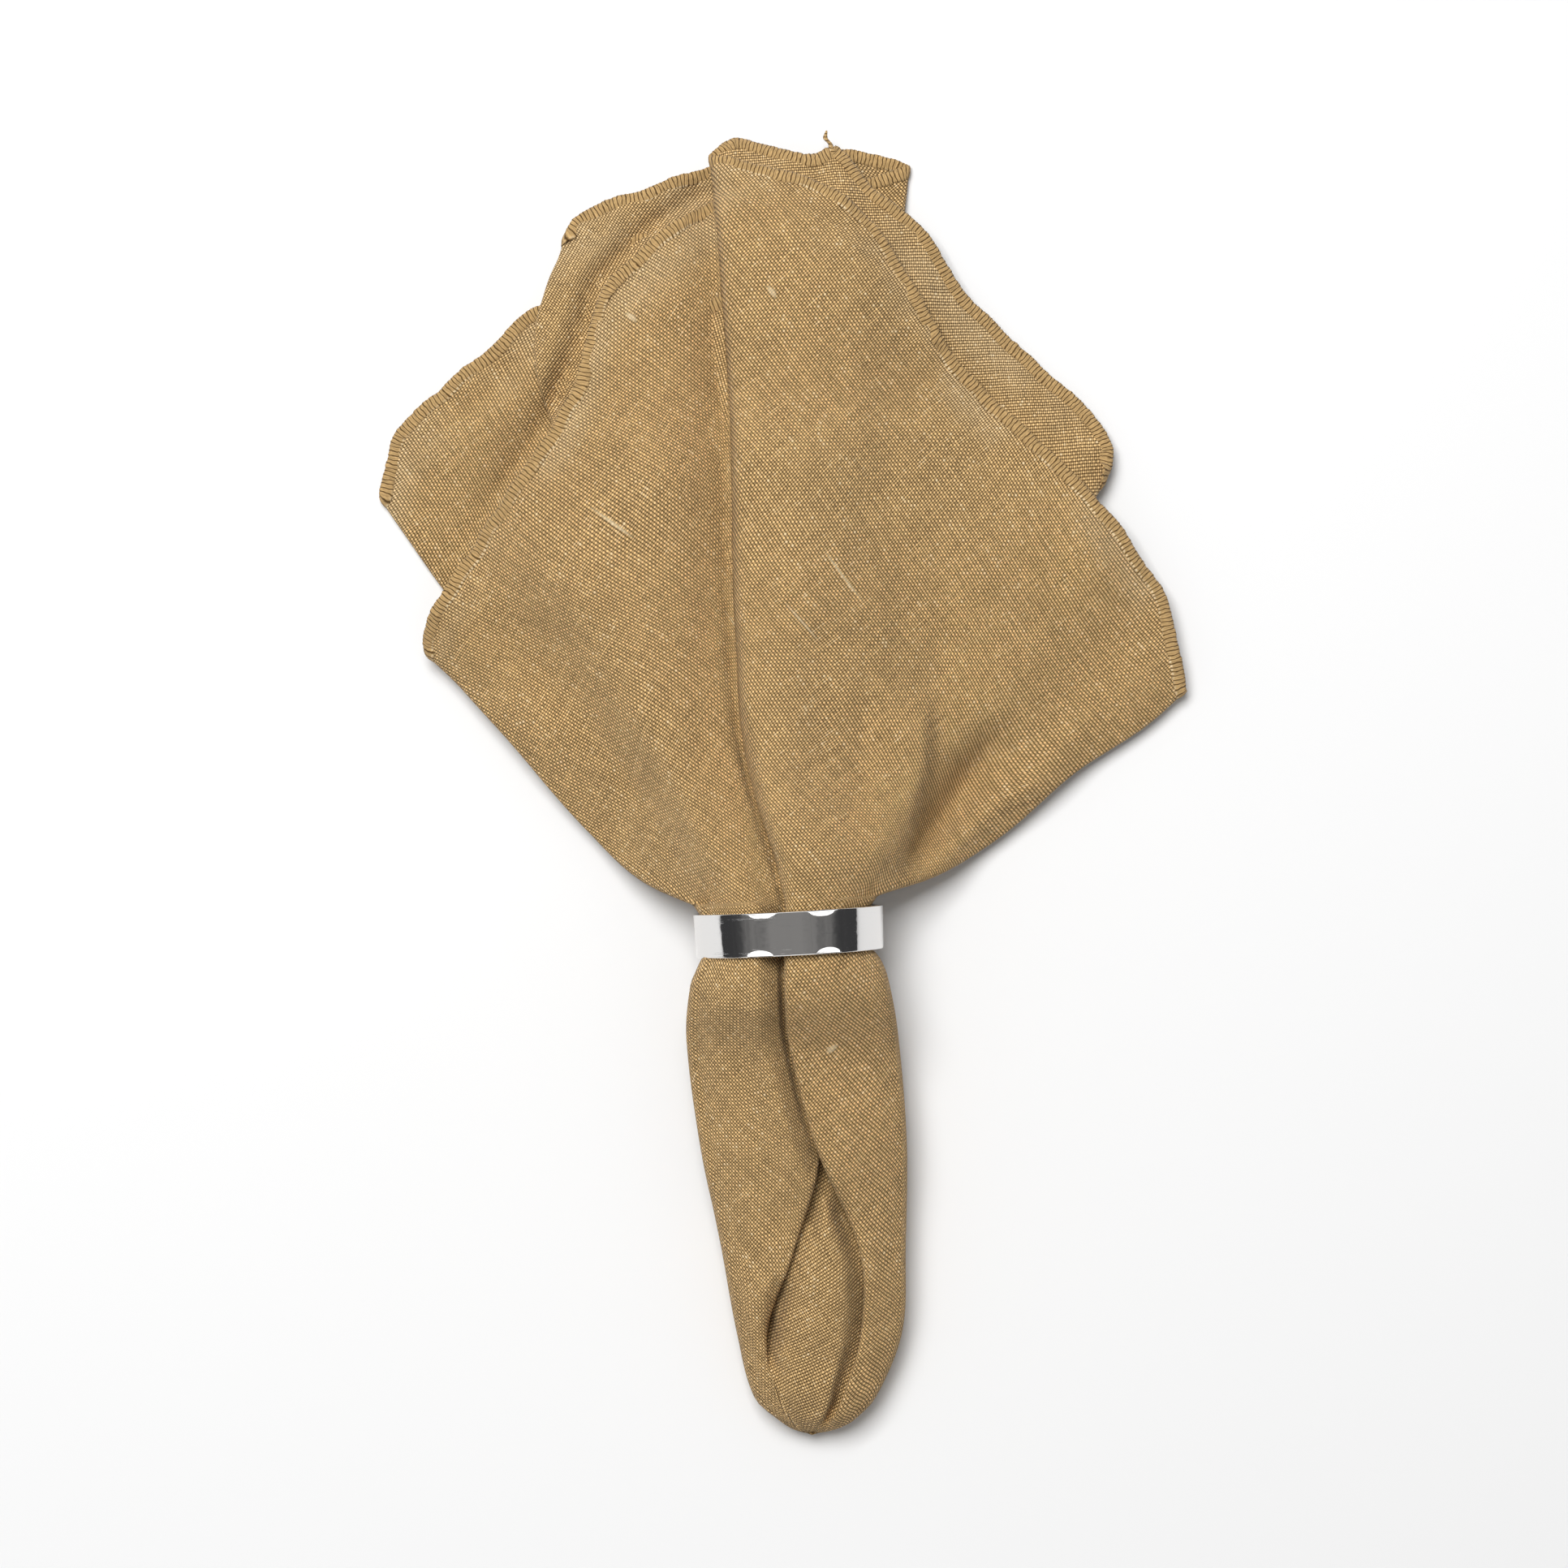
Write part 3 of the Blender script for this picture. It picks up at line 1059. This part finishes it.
def blend_colours(tree, share, low, high, kind="MIX"):
    """A mix of two colours by a share."""
    node = tree.nodes.new("ShaderNodeMix")
    node.data_type = "RGBA"
    node.blend_type = kind
    join(tree, share, node.inputs["Factor"])
    join(tree, low, node.inputs[6])
    join(tree, high, node.inputs[7])
    return node.outputs[2]


def ramp(tree, value, low, high):
    """0 below low, 1 above high, eased between."""
    node = tree.nodes.new("ShaderNodeMapRange")
    node.interpolation_type = "SMOOTHSTEP"
    join(tree, value, node.inputs["Value"])
    join(tree, low, node.inputs["From Min"])
    join(tree, high, node.inputs["From Max"])
    return node.outputs["Result"]


def around_one(tree, value, contrast):
    """1 + contrast (value - 0.5): a factor that leaves the mean brightness as it is."""
    return maths(tree, "MULTIPLY_ADD", maths(tree, "SUBTRACT", value, 0.5), contrast, 1.0)


def vector_of(tree, x, y, z=0.0):
    """Three numbers as one vector."""
    node = tree.nodes.new("ShaderNodeCombineXYZ")
    for value, socket in zip((x, y, z), node.inputs):
        join(tree, value, socket)
    return node.outputs[0]


def noise(tree, vector, scale, detail=2.0, roughness=0.5):
    """Soft random values around a half."""
    node = tree.nodes.new("ShaderNodeTexNoise")
    join(tree, vector, node.inputs["Vector"])
    join(tree, scale, node.inputs["Scale"])
    node.inputs["Detail"].default_value = detail
    node.inputs["Roughness"].default_value = roughness
    return node.outputs["Fac"]


def shaded(tree, colour, shade):
    """A colour times a number."""
    return blend_colours(tree, 1.0, colour, vector_of(tree, shade, shade, shade), "MULTIPLY")


def new_material(name):
    """A material, its node tree and its own shader node."""
    material = bpy.data.materials.new(name)
    material.use_nodes = True
    tree = material.node_tree
    return material, tree, next(node for node in tree.nodes if node.type == "BSDF_PRINCIPLED")


def add_bump(tree, shader, height, strength, distance):
    """Turns a height, in units of the distance, into the shader's normal."""
    bump = tree.nodes.new("ShaderNodeBump")
    bump.inputs["Strength"].default_value = strength
    bump.inputs["Distance"].default_value = distance
    tree.links.new(height, bump.inputs["Height"])
    tree.links.new(bump.outputs[0], shader.inputs["Normal"])


def uv_of(tree, name):
    """The named map of the piece, as a vector."""
    node = tree.nodes.new("ShaderNodeUVMap")
    node.uv_map = name
    return node.outputs[0]


def new_group(name, inputs, outputs):
    """An empty node group with its named sockets, and the nodes that stand for them."""
    group = bpy.data.node_groups.new(name, "ShaderNodeTree")
    for socket_name, kind, value in inputs:
        socket = group.interface.new_socket(name=socket_name, in_out="INPUT", socket_type=kind)
        if value is not None:
            socket.default_value = value
    for socket_name, kind in outputs:
        group.interface.new_socket(name=socket_name, in_out="OUTPUT", socket_type=kind)
    return group, group.nodes.new("NodeGroupInput").outputs, group.nodes.new("NodeGroupOutput").inputs


# %% [markdown]
# ## The weave
# Plain weave is the simplest there is: each thread goes over one and under one. On a map counted in
# threads, whole numbers name the threads and the rest tells the place on them. A thread is round
# across its way and rises and sinks along it. The higher of the two threads is the one that shows.
# Linen yarn is uneven, so each thread also varies in shade and thickness along its own way, and
# each crossing has a random grain of its own.

# %% Weave group
WEFT_SINK = 0.66


def build_weave_group():
    """Plain weave: height = higher of warp and weft, shade = streaks along whichever shows."""
    group, given, result = new_group(
        "plain_weave",
        [("Map", "NodeSocketVector", None), ("Warp Pitch", "NodeSocketFloat", 0.00074),
         ("Weft Pitch", "NodeSocketFloat", 0.00053), ("Uneven", "NodeSocketFloat", 0.5)],
        [("Height", "NodeSocketFloat"), ("Shade", "NodeSocketFloat"), ("Nub", "NodeSocketFloat"),
         ("Grain", "NodeSocketFloat")],
    )
    split = group.nodes.new("ShaderNodeSeparateXYZ")
    group.links.new(given["Map"], split.inputs[0])
    counted = [maths(group, "DIVIDE", split.outputs[k], given[name])
               for k, name in enumerate(("Warp Pitch", "Weft Pitch"))]
    loose = noise(group, vector_of(group, counted[0], counted[1]), 0.09, 1.0)
    wander = maths(group, "MULTIPLY", maths(group, "SUBTRACT", loose, 0.5), given["Uneven"])
    u = maths(group, "ADD", counted[0], wander)
    v = maths(group, "SUBTRACT", counted[1], wander)
    whole_u, whole_v = maths(group, "FLOOR", u), maths(group, "FLOOR", v)
    rest_u = maths(group, "SUBTRACT", maths(group, "SUBTRACT", u, whole_u), 0.5)
    rest_v = maths(group, "SUBTRACT", maths(group, "SUBTRACT", v, whole_v), 0.5)
    parity = maths(group, "MODULO", maths(group, "ABSOLUTE", maths(group, "ADD", whole_u, whole_v)), 2.0)
    over = maths(group, "SUBTRACT", 1.0, maths(group, "MULTIPLY", parity, 2.0))
    warp_streak = noise(group, vector_of(group, maths(group, "MULTIPLY", whole_u, 7.31),
                                         maths(group, "MULTIPLY", v, 0.06)), 1.0, 1.0, 0.5)
    weft_streak = noise(group, vector_of(group, maths(group, "MULTIPLY", u, 0.06),
                                         maths(group, "MULTIPLY", whole_v, 5.77), 9.0), 1.0, 1.0, 0.5)
    warp_band = noise(group, vector_of(group, maths(group, "MULTIPLY", u, 0.55),
                                       maths(group, "MULTIPLY", v, 0.02), 3.0), 1.0, 1.0)
    weft_band = noise(group, vector_of(group, maths(group, "MULTIPLY", u, 0.03),
                                       maths(group, "MULTIPLY", v, 0.4), 5.0), 1.0, 1.0)
    bow_u = maths(group, "COSINE", maths(group, "MULTIPLY", rest_u, np.pi))
    bow_v = maths(group, "COSINE", maths(group, "MULTIPLY", rest_v, np.pi))
    heights = []
    for bow_across, bow_along, way, streak, tall in ((bow_u, bow_v, 0.5, warp_streak, 1.0),
                                                     (bow_v, bow_u, -0.5, weft_streak, WEFT_SINK)):
        rise = maths(group, "MULTIPLY_ADD", maths(group, "MULTIPLY", over, bow_along), way, 0.5)
        fuller = maths(group, "MULTIPLY_ADD", maths(group, "SUBTRACT", streak, 0.5), given["Uneven"], rise)
        round_thread = maths(group, "POWER", maths(group, "MAXIMUM", bow_across, 0.0), 0.9)
        heights.append(maths(group, "MULTIPLY", maths(group, "MULTIPLY", round_thread, fuller), tall))
    warp_shows = maths(group, "GREATER_THAN", heights[0], heights[1])
    group.links.new(maths(group, "MAXIMUM", heights[0], heights[1]), result["Height"])
    streak = blend_numbers(group, warp_shows, weft_streak, warp_streak)
    band = maths(group, "MULTIPLY", maths(group, "ADD", warp_band, weft_band), 0.5)
    mixed = maths(group, "MULTIPLY_ADD", streak, 0.8, maths(group, "MULTIPLY_ADD", band, 0.12, 0.04))
    group.links.new(mixed, result["Shade"])
    crossing = group.nodes.new("ShaderNodeTexWhiteNoise")
    crossing.noise_dimensions = "2D"
    group.links.new(vector_of(group, whole_u, whole_v), crossing.inputs["Vector"])
    group.links.new(crossing.outputs["Value"], result["Grain"])
    bright_stretch = ramp(group, streak, 0.5, 0.64)
    bright_crossing = ramp(group, crossing.outputs["Value"], 0.82, 0.92)
    group.links.new(maths(group, "MULTIPLY", bright_stretch, bright_crossing), result["Nub"])
    return group


weave_group = build_weave_group()
print("weave group has", len(weave_group.nodes), "nodes")

# %% [markdown]
# ## Slubs
# A slub is a thick, loosely spun stretch of yarn, a few millimetres to a few centimetres long. It is
# the mark of linen. Most are small and come from the streaks of the weave group. A few large ones
# are placed by hand: each is a soft, slender spot along a thread, at its own place on the map.

# %% Slub group
def build_slub_group():
    """1 in the middle of a slender spot, easing to 0 at its length and its width."""
    group, given, result = new_group(
        "slub",
        [("Map", "NodeSocketVector", None),
         ("Along", "NodeSocketFloat", 0.0), ("Across", "NodeSocketFloat", 0.0),
         ("Length", "NodeSocketFloat", 0.006), ("Width", "NodeSocketFloat", 0.0006)],
        [("Mask", "NodeSocketFloat")],
    )
    split = group.nodes.new("ShaderNodeSeparateXYZ")
    group.links.new(given["Map"], split.inputs[0])
    uneven = noise(group, given["Map"], 700.0, 1.0)
    squares = []
    for k, centre, size in ((0, "Along", "Length"), (1, "Across", "Width")):
        away = maths(group, "DIVIDE", maths(group, "SUBTRACT", split.outputs[k], given[centre]), given[size])
        squares.append(maths(group, "POWER", maths(group, "ABSOLUTE", away), 2.0))
    far = maths(group, "ADD", squares[0], squares[1])
    mask = maths(group, "SUBTRACT", 1.0, ramp(group, far, 0.1, maths(group, "ADD", uneven, 0.6)))
    group.links.new(mask, result["Mask"])
    return group


slub_group = build_slub_group()


def map_at(panel_index, x, y):
    """Weave map of a panel at the grid point nearest to a place on the table."""
    columns, u, v = weave_map(panel_index)
    away = np.hypot(cloth_x[:, columns] - x, cloth_y[:, columns] - y)
    nearest = np.unravel_index(np.argmin(away), away.shape)
    return float(u[nearest]), float(v[nearest])


# %% [markdown]
# ## Linen
# The cloth is dyed ochre. Its colour comes from the threads: bright on their crowns, deep in the
# gaps, and a little different from thread to thread. Washing leaves larger, very faint clouds, and
# the cloth grows paler and thinner towards the hem. The threads' height goes into the Bump node.

# %% Linen material
WARP_PITCH = 0.00074
WEFT_PITCH = 0.00054
LINEN_CROWN = (0.885, 0.590, 0.268, 1.0)
LINEN_GAP = (0.070, 0.033, 0.006, 1.0)
LINEN_PALE = (0.86, 0.70, 0.45, 1.0)
THREAD_UNEVEN = 0.4
THREAD_CONTRAST = 0.65
CLOUD_CONTRAST = 0.06
GRAIN_CONTRAST = 0.28
SLUBS = [
    ("front left", -40.5, 60.6, 90, 0.0066, 0.00045),
    ("front left", -58.0, 96.0, 90, 0.0022, 0.0008),
    ("front right", 13.0, 49.4, 90, 0.0085, 0.00036),
    ("front right", 4.6, 37.8, 90, 0.0070, 0.00036),
    ("front right", -2.6, 116.0, 90, 0.0018, 0.0008),
    ("front right", 11.2, -61.0, 0, 0.0018, 0.0009),
]


def build_linen():
    """Colour and bump of the cloth from weave, slubs, clouds and closeness to the hem."""
    material, tree, shader = new_material("washed_linen")
    woven = tree.nodes.new("ShaderNodeGroup")
    woven.node_tree = weave_group
    threads = uv_of(tree, "weave")
    tree.links.new(threads, woven.inputs["Map"])
    woven.inputs["Warp Pitch"].default_value = WARP_PITCH
    woven.inputs["Weft Pitch"].default_value = WEFT_PITCH
    woven.inputs["Uneven"].default_value = THREAD_UNEVEN
    masks = []
    for panel, x, y, turn, length, width in SLUBS:
        index = [entry["name"] for entry in PANELS].index(panel)
        u, v = map_at(index, x, y)
        spot = tree.nodes.new("ShaderNodeGroup")
        spot.node_tree = slub_group
        turned = tree.nodes.new("ShaderNodeVectorRotate")
        turned.rotation_type = "Z_AXIS"
        turned.inputs["Angle"].default_value = -np.radians(turn)
        tree.links.new(threads, turned.inputs["Vector"])
        tree.links.new(turned.outputs[0], spot.inputs["Map"])
        cosine, sine = np.cos(np.radians(turn)), np.sin(np.radians(turn))
        spot.inputs["Along"].default_value = u * cosine + v * sine
        spot.inputs["Across"].default_value = v * cosine - u * sine
        spot.inputs["Length"].default_value = length
        spot.inputs["Width"].default_value = width
        masks.append(spot.outputs["Mask"])
    slubs = masks[0]
    for mask in masks[1:]:
        slubs = maths(tree, "MAXIMUM", slubs, mask)
    place = tree.nodes.new("ShaderNodeTexCoord").outputs["Object"]
    clouds = noise(tree, place, 28.0, 3.0, 0.55)
    crown = ramp(tree, woven.outputs["Height"], 0.12, 0.88)
    colour = blend_colours(tree, crown, LINEN_GAP, LINEN_CROWN)
    shade = around_one(tree, woven.outputs["Shade"], THREAD_CONTRAST)
    shade = maths(tree, "MULTIPLY", shade, around_one(tree, clouds, CLOUD_CONTRAST))
    shade = maths(tree, "MULTIPLY", shade, around_one(tree, woven.outputs["Grain"], GRAIN_CONTRAST))
    colour = shaded(tree, colour, shade)
    near = tree.nodes.new("ShaderNodeAttribute")
    near.attribute_name = "near_hem"
    thin = maths(tree, "MULTIPLY", ramp(tree, near.outputs["Fac"], 0.2, 0.9), ramp(tree, clouds, 0.42, 0.6))
    nubs = maths(tree, "MULTIPLY", woven.outputs["Nub"], crown)
    thin_crown = maths(tree, "MULTIPLY", thin, crown)
    paler = maths(tree, "MULTIPLY_ADD", thin_crown, 0.35, maths(tree, "MULTIPLY", nubs, 0.7))
    paler = maths(tree, "MINIMUM", maths(tree, "MULTIPLY_ADD", slubs, 0.5, paler), 0.85)
    tree.links.new(blend_colours(tree, paler, colour, LINEN_PALE), shader.inputs["Base Color"])
    height = maths(tree, "MULTIPLY_ADD", slubs, 1.2, woven.outputs["Height"])
    add_bump(tree, shader, height, 0.85, 0.00032)
    rough = maths(tree, "MULTIPLY_ADD", woven.outputs["Shade"], 0.12, 0.8)
    tree.links.new(rough, shader.inputs["Roughness"])
    shader.inputs["Specular IOR Level"].default_value = 0.25
    shader.inputs["Sheen Weight"].default_value = 0.06
    shader.inputs["Sheen Roughness"].default_value = 0.5
    return material


napkin.data.materials.append(build_linen())

# %% [markdown]
# ## Hem thread
# The hem is wrapped in a finer, tightly laid thread of the same ochre. Each stitch is a small ridge
# across the band, brighter on its crown and dark in the groove to the next one. The map of the hem
# runs along the edge in metres, so that the thread pattern keeps in step with the ribs of the mesh.

# %% Hem material
HEM_CROWN = (0.500, 0.325, 0.140, 1.0)
HEM_GROOVE = (0.085, 0.042, 0.010, 1.0)
BEAD_PLACE = 0.72


def build_hem_thread():
    """Ridges by a sine of the way along, split by finer threads, and a row of pale beads inside."""
    material, tree, shader = new_material("hem_thread")
    split = tree.nodes.new("ShaderNodeSeparateXYZ")
    tree.links.new(uv_of(tree, "stitches"), split.inputs[0])
    along = maths(tree, "DIVIDE", split.outputs[0], STITCH * MILLIMETRE)
    across = maths(tree, "DIVIDE", split.outputs[1], HEM_WIDTH * MILLIMETRE)
    wander = noise(tree, vector_of(tree, maths(tree, "MULTIPLY", along, 0.6),
                                   maths(tree, "MULTIPLY", across, 1.6)), 1.0, 2.0)
    phase = maths(tree, "MULTIPLY_ADD", wander, 1.1, along)
    ridge = maths(tree, "ABSOLUTE", maths(tree, "SINE", maths(tree, "MULTIPLY", phase, np.pi)))
    fine = maths(tree, "ABSOLUTE", maths(tree, "SINE", maths(tree, "MULTIPLY", phase, 2 * np.pi)))
    fleck = noise(tree, vector_of(tree, maths(tree, "MULTIPLY", along, 2.2),
                                  maths(tree, "MULTIPLY", across, 2.8)), 1.0, 3.0, 0.7)
    patch = noise(tree, vector_of(tree, maths(tree, "MULTIPLY", along, 0.12), across), 1.0, 2.0)
    crown = maths(tree, "MULTIPLY_ADD", fine, 0.45, maths(tree, "MULTIPLY", ridge, 0.55))
    colour = blend_colours(tree, ramp(tree, crown, 0.1, 0.85), HEM_GROOVE, HEM_CROWN)
    off_line = maths(tree, "ABSOLUTE", maths(tree, "SUBTRACT", across, BEAD_PLACE))
    line = maths(tree, "SUBTRACT", 1.0, ramp(tree, off_line, 0.05, 0.14))
    dots = ramp(tree, maths(tree, "MULTIPLY_ADD", fleck, 0.8, ridge), 0.95, 1.3)
    bead = maths(tree, "MULTIPLY", line, maths(tree, "MULTIPLY", dots, ramp(tree, patch, 0.4, 0.6)))
    colour = blend_colours(tree, maths(tree, "MULTIPLY", bead, 0.8), colour, LINEN_PALE)
    colour = shaded(tree, colour, around_one(tree, fleck, 1.5))
    tree.links.new(colour, shader.inputs["Base Color"])
    add_bump(tree, shader, maths(tree, "MULTIPLY_ADD", fleck, 0.5, crown), 0.8, 0.00025)
    tree.links.new(maths(tree, "MULTIPLY_ADD", fleck, 0.1, 0.78), shader.inputs["Roughness"])
    shader.inputs["Specular IOR Level"].default_value = 0.25
    shader.inputs["Sheen Weight"].default_value = 0.08
    return material


hem.data.materials.append(build_hem_thread())

# %% [markdown]
# ## Polished metal
# A chromed or stainless ring is almost a mirror, so its look comes from what stands round it. What
# it has of its own is faint: hairline scratches round the strip, slight clouds of roughness from
# handling, and a surface that is not perfectly even, which makes the reflections waver.

# %% Ring material
METAL_COLOUR = (0.765, 0.755, 0.745, 1.0)
SCRATCH_COLOUR = (0.62, 0.62, 0.64, 1.0)


def build_metal():
    """Mirror with roughness clouds, long thin scratches along the strip and a slow waver."""
    material, tree, shader = new_material("polished_metal")
    shader.inputs["Metallic"].default_value = 1.0
    split = tree.nodes.new("ShaderNodeSeparateXYZ")
    tree.links.new(uv_of(tree, "strip"), split.inputs[0])
    stretched = vector_of(tree, maths(tree, "MULTIPLY", split.outputs[0], 60.0),
                          maths(tree, "MULTIPLY", split.outputs[1], 2400.0))
    scratches = ramp(tree, noise(tree, stretched, 1.0, 4.0, 0.7), 0.56, 0.72)
    place = tree.nodes.new("ShaderNodeTexCoord").outputs["Object"]
    clouds = noise(tree, place, 160.0, 3.0)
    rough = maths(tree, "MULTIPLY_ADD", scratches, 0.10, maths(tree, "MULTIPLY_ADD", clouds, 0.08, 0.02))
    tree.links.new(rough, shader.inputs["Roughness"])
    colour = blend_colours(tree, maths(tree, "MULTIPLY", scratches, 0.25), METAL_COLOUR, SCRATCH_COLOUR)
    tree.links.new(colour, shader.inputs["Base Color"])
    waver = noise(tree, place, 240.0, 2.0)
    add_bump(tree, shader, maths(tree, "MULTIPLY_ADD", scratches, 0.15, waver), 0.3, 0.0002)
    return material


ring.data.materials.append(build_metal())

# %% [markdown]
# ## Floor
# The object lies on a plain pale table. It has no gloss, so that it shows as an even white ground.

# %% Floor
FLOOR_HALF = 3.0
FLOOR_COLOUR = (0.86, 0.86, 0.86, 1.0)
floor_points = np.array([
    [-FLOOR_HALF, -FLOOR_HALF, 0.0],
    [FLOOR_HALF, -FLOOR_HALF, 0.0],
    [FLOOR_HALF, FLOOR_HALF, 0.0],
    [-FLOOR_HALF, FLOOR_HALF, 0.0],
])
floor = new_mesh("pale_floor", floor_points, np.arange(4), np.array([4]))
floor_material, _, floor_shader = new_material("pale_floor")
floor_shader.inputs["Base Color"].default_value = FLOOR_COLOUR
floor_shader.inputs["Roughness"].default_value = 0.9
floor_shader.inputs["Specular IOR Level"].default_value = 0.0
floor.data.materials.append(floor_material)

# %% [markdown]
# ## Light
# One broad soft light from the upper left gives the gentle shade of a product picture. Two long
# panels, over the fan and over the tail, show only in mirrors: they are the white lenses in the
# ring's facets. The world is pale too, but dim for mirror-like surfaces, because a polished ring
# seen from above shows the darker room over it and the bright table at both its sides.

# %% Lights
def soft_light(name, place, wide, high, watts, in_mirrors):
    """A flat rectangle of light at a place, turned towards the middle of the object."""
    data = bpy.data.lights.new(name, "AREA")
    data.shape = "RECTANGLE"
    data.size = wide
    data.size_y = high
    data.energy = watts
    lamp = bpy.data.objects.new(name, data)
    lamp.location = place
    position = np.array(place)
    down = -position / np.linalg.norm(position)
    lamp.rotation_euler = (float(np.arccos(-down[2])), 0.0, float(np.arctan2(-down[0], down[1])))
    lamp.visible_glossy = in_mirrors
    lamp.visible_diffuse = not in_mirrors
    lamp.visible_camera = False
    bpy.context.collection.objects.link(lamp)


soft_light("key_light", (-0.30, 0.56, 1.52), 0.8, 0.8, 27.5, False)
soft_light("fan_panel", (0.0, 0.80, 1.1), 3.8, 0.7, 12.5, True)
soft_light("tail_panel", (0.0, -0.86, 1.06), 3.8, 0.7, 12.5, True)

world = bpy.data.worlds.new("pale_room")
bpy.context.scene.world = world
world.use_nodes = True
room = world.node_tree
background = next(node for node in room.nodes if node.type == "BACKGROUND")
ray = room.nodes.new("ShaderNodeLightPath")
ROOM_LIGHT = (0.30, 0.30, 0.30, 1.0)
CEILING_IN_MIRRORS = (0.26, 0.255, 0.25, 1.0)
WALLS_IN_MIRRORS = (0.050, 0.050, 0.052, 1.0)
looking = room.nodes.new("ShaderNodeTexCoord").outputs["Generated"]
upward = room.nodes.new("ShaderNodeSeparateXYZ")
room.links.new(looking, upward.inputs[0])
uneven = maths(room, "MULTIPLY_ADD", noise(room, looking, 6.0, 3.0), 0.7, upward.outputs[2])
mirrored = blend_colours(room, ramp(room, uneven, 0.62, 1.4), WALLS_IN_MIRRORS, CEILING_IN_MIRRORS)
room_colour = blend_colours(room, ray.outputs["Is Glossy Ray"], ROOM_LIGHT, mirrored)
room.links.new(room_colour, background.inputs["Color"])
background.inputs["Strength"].default_value = 1.0

# %% [markdown]
# ## Handing the pieces over
# Each new piece says what it stands for: the cloth for the napkin's solid, and the polished band
# for the ring's. All ride on the one body. The cloth is declared with the size it was cut to.

# %% Declare and finish
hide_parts("napkin")
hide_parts("ring")
for piece, slot_name in ((napkin, "linen"), (hem, "linen"), (ring, "metal")):
    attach(piece, "root")
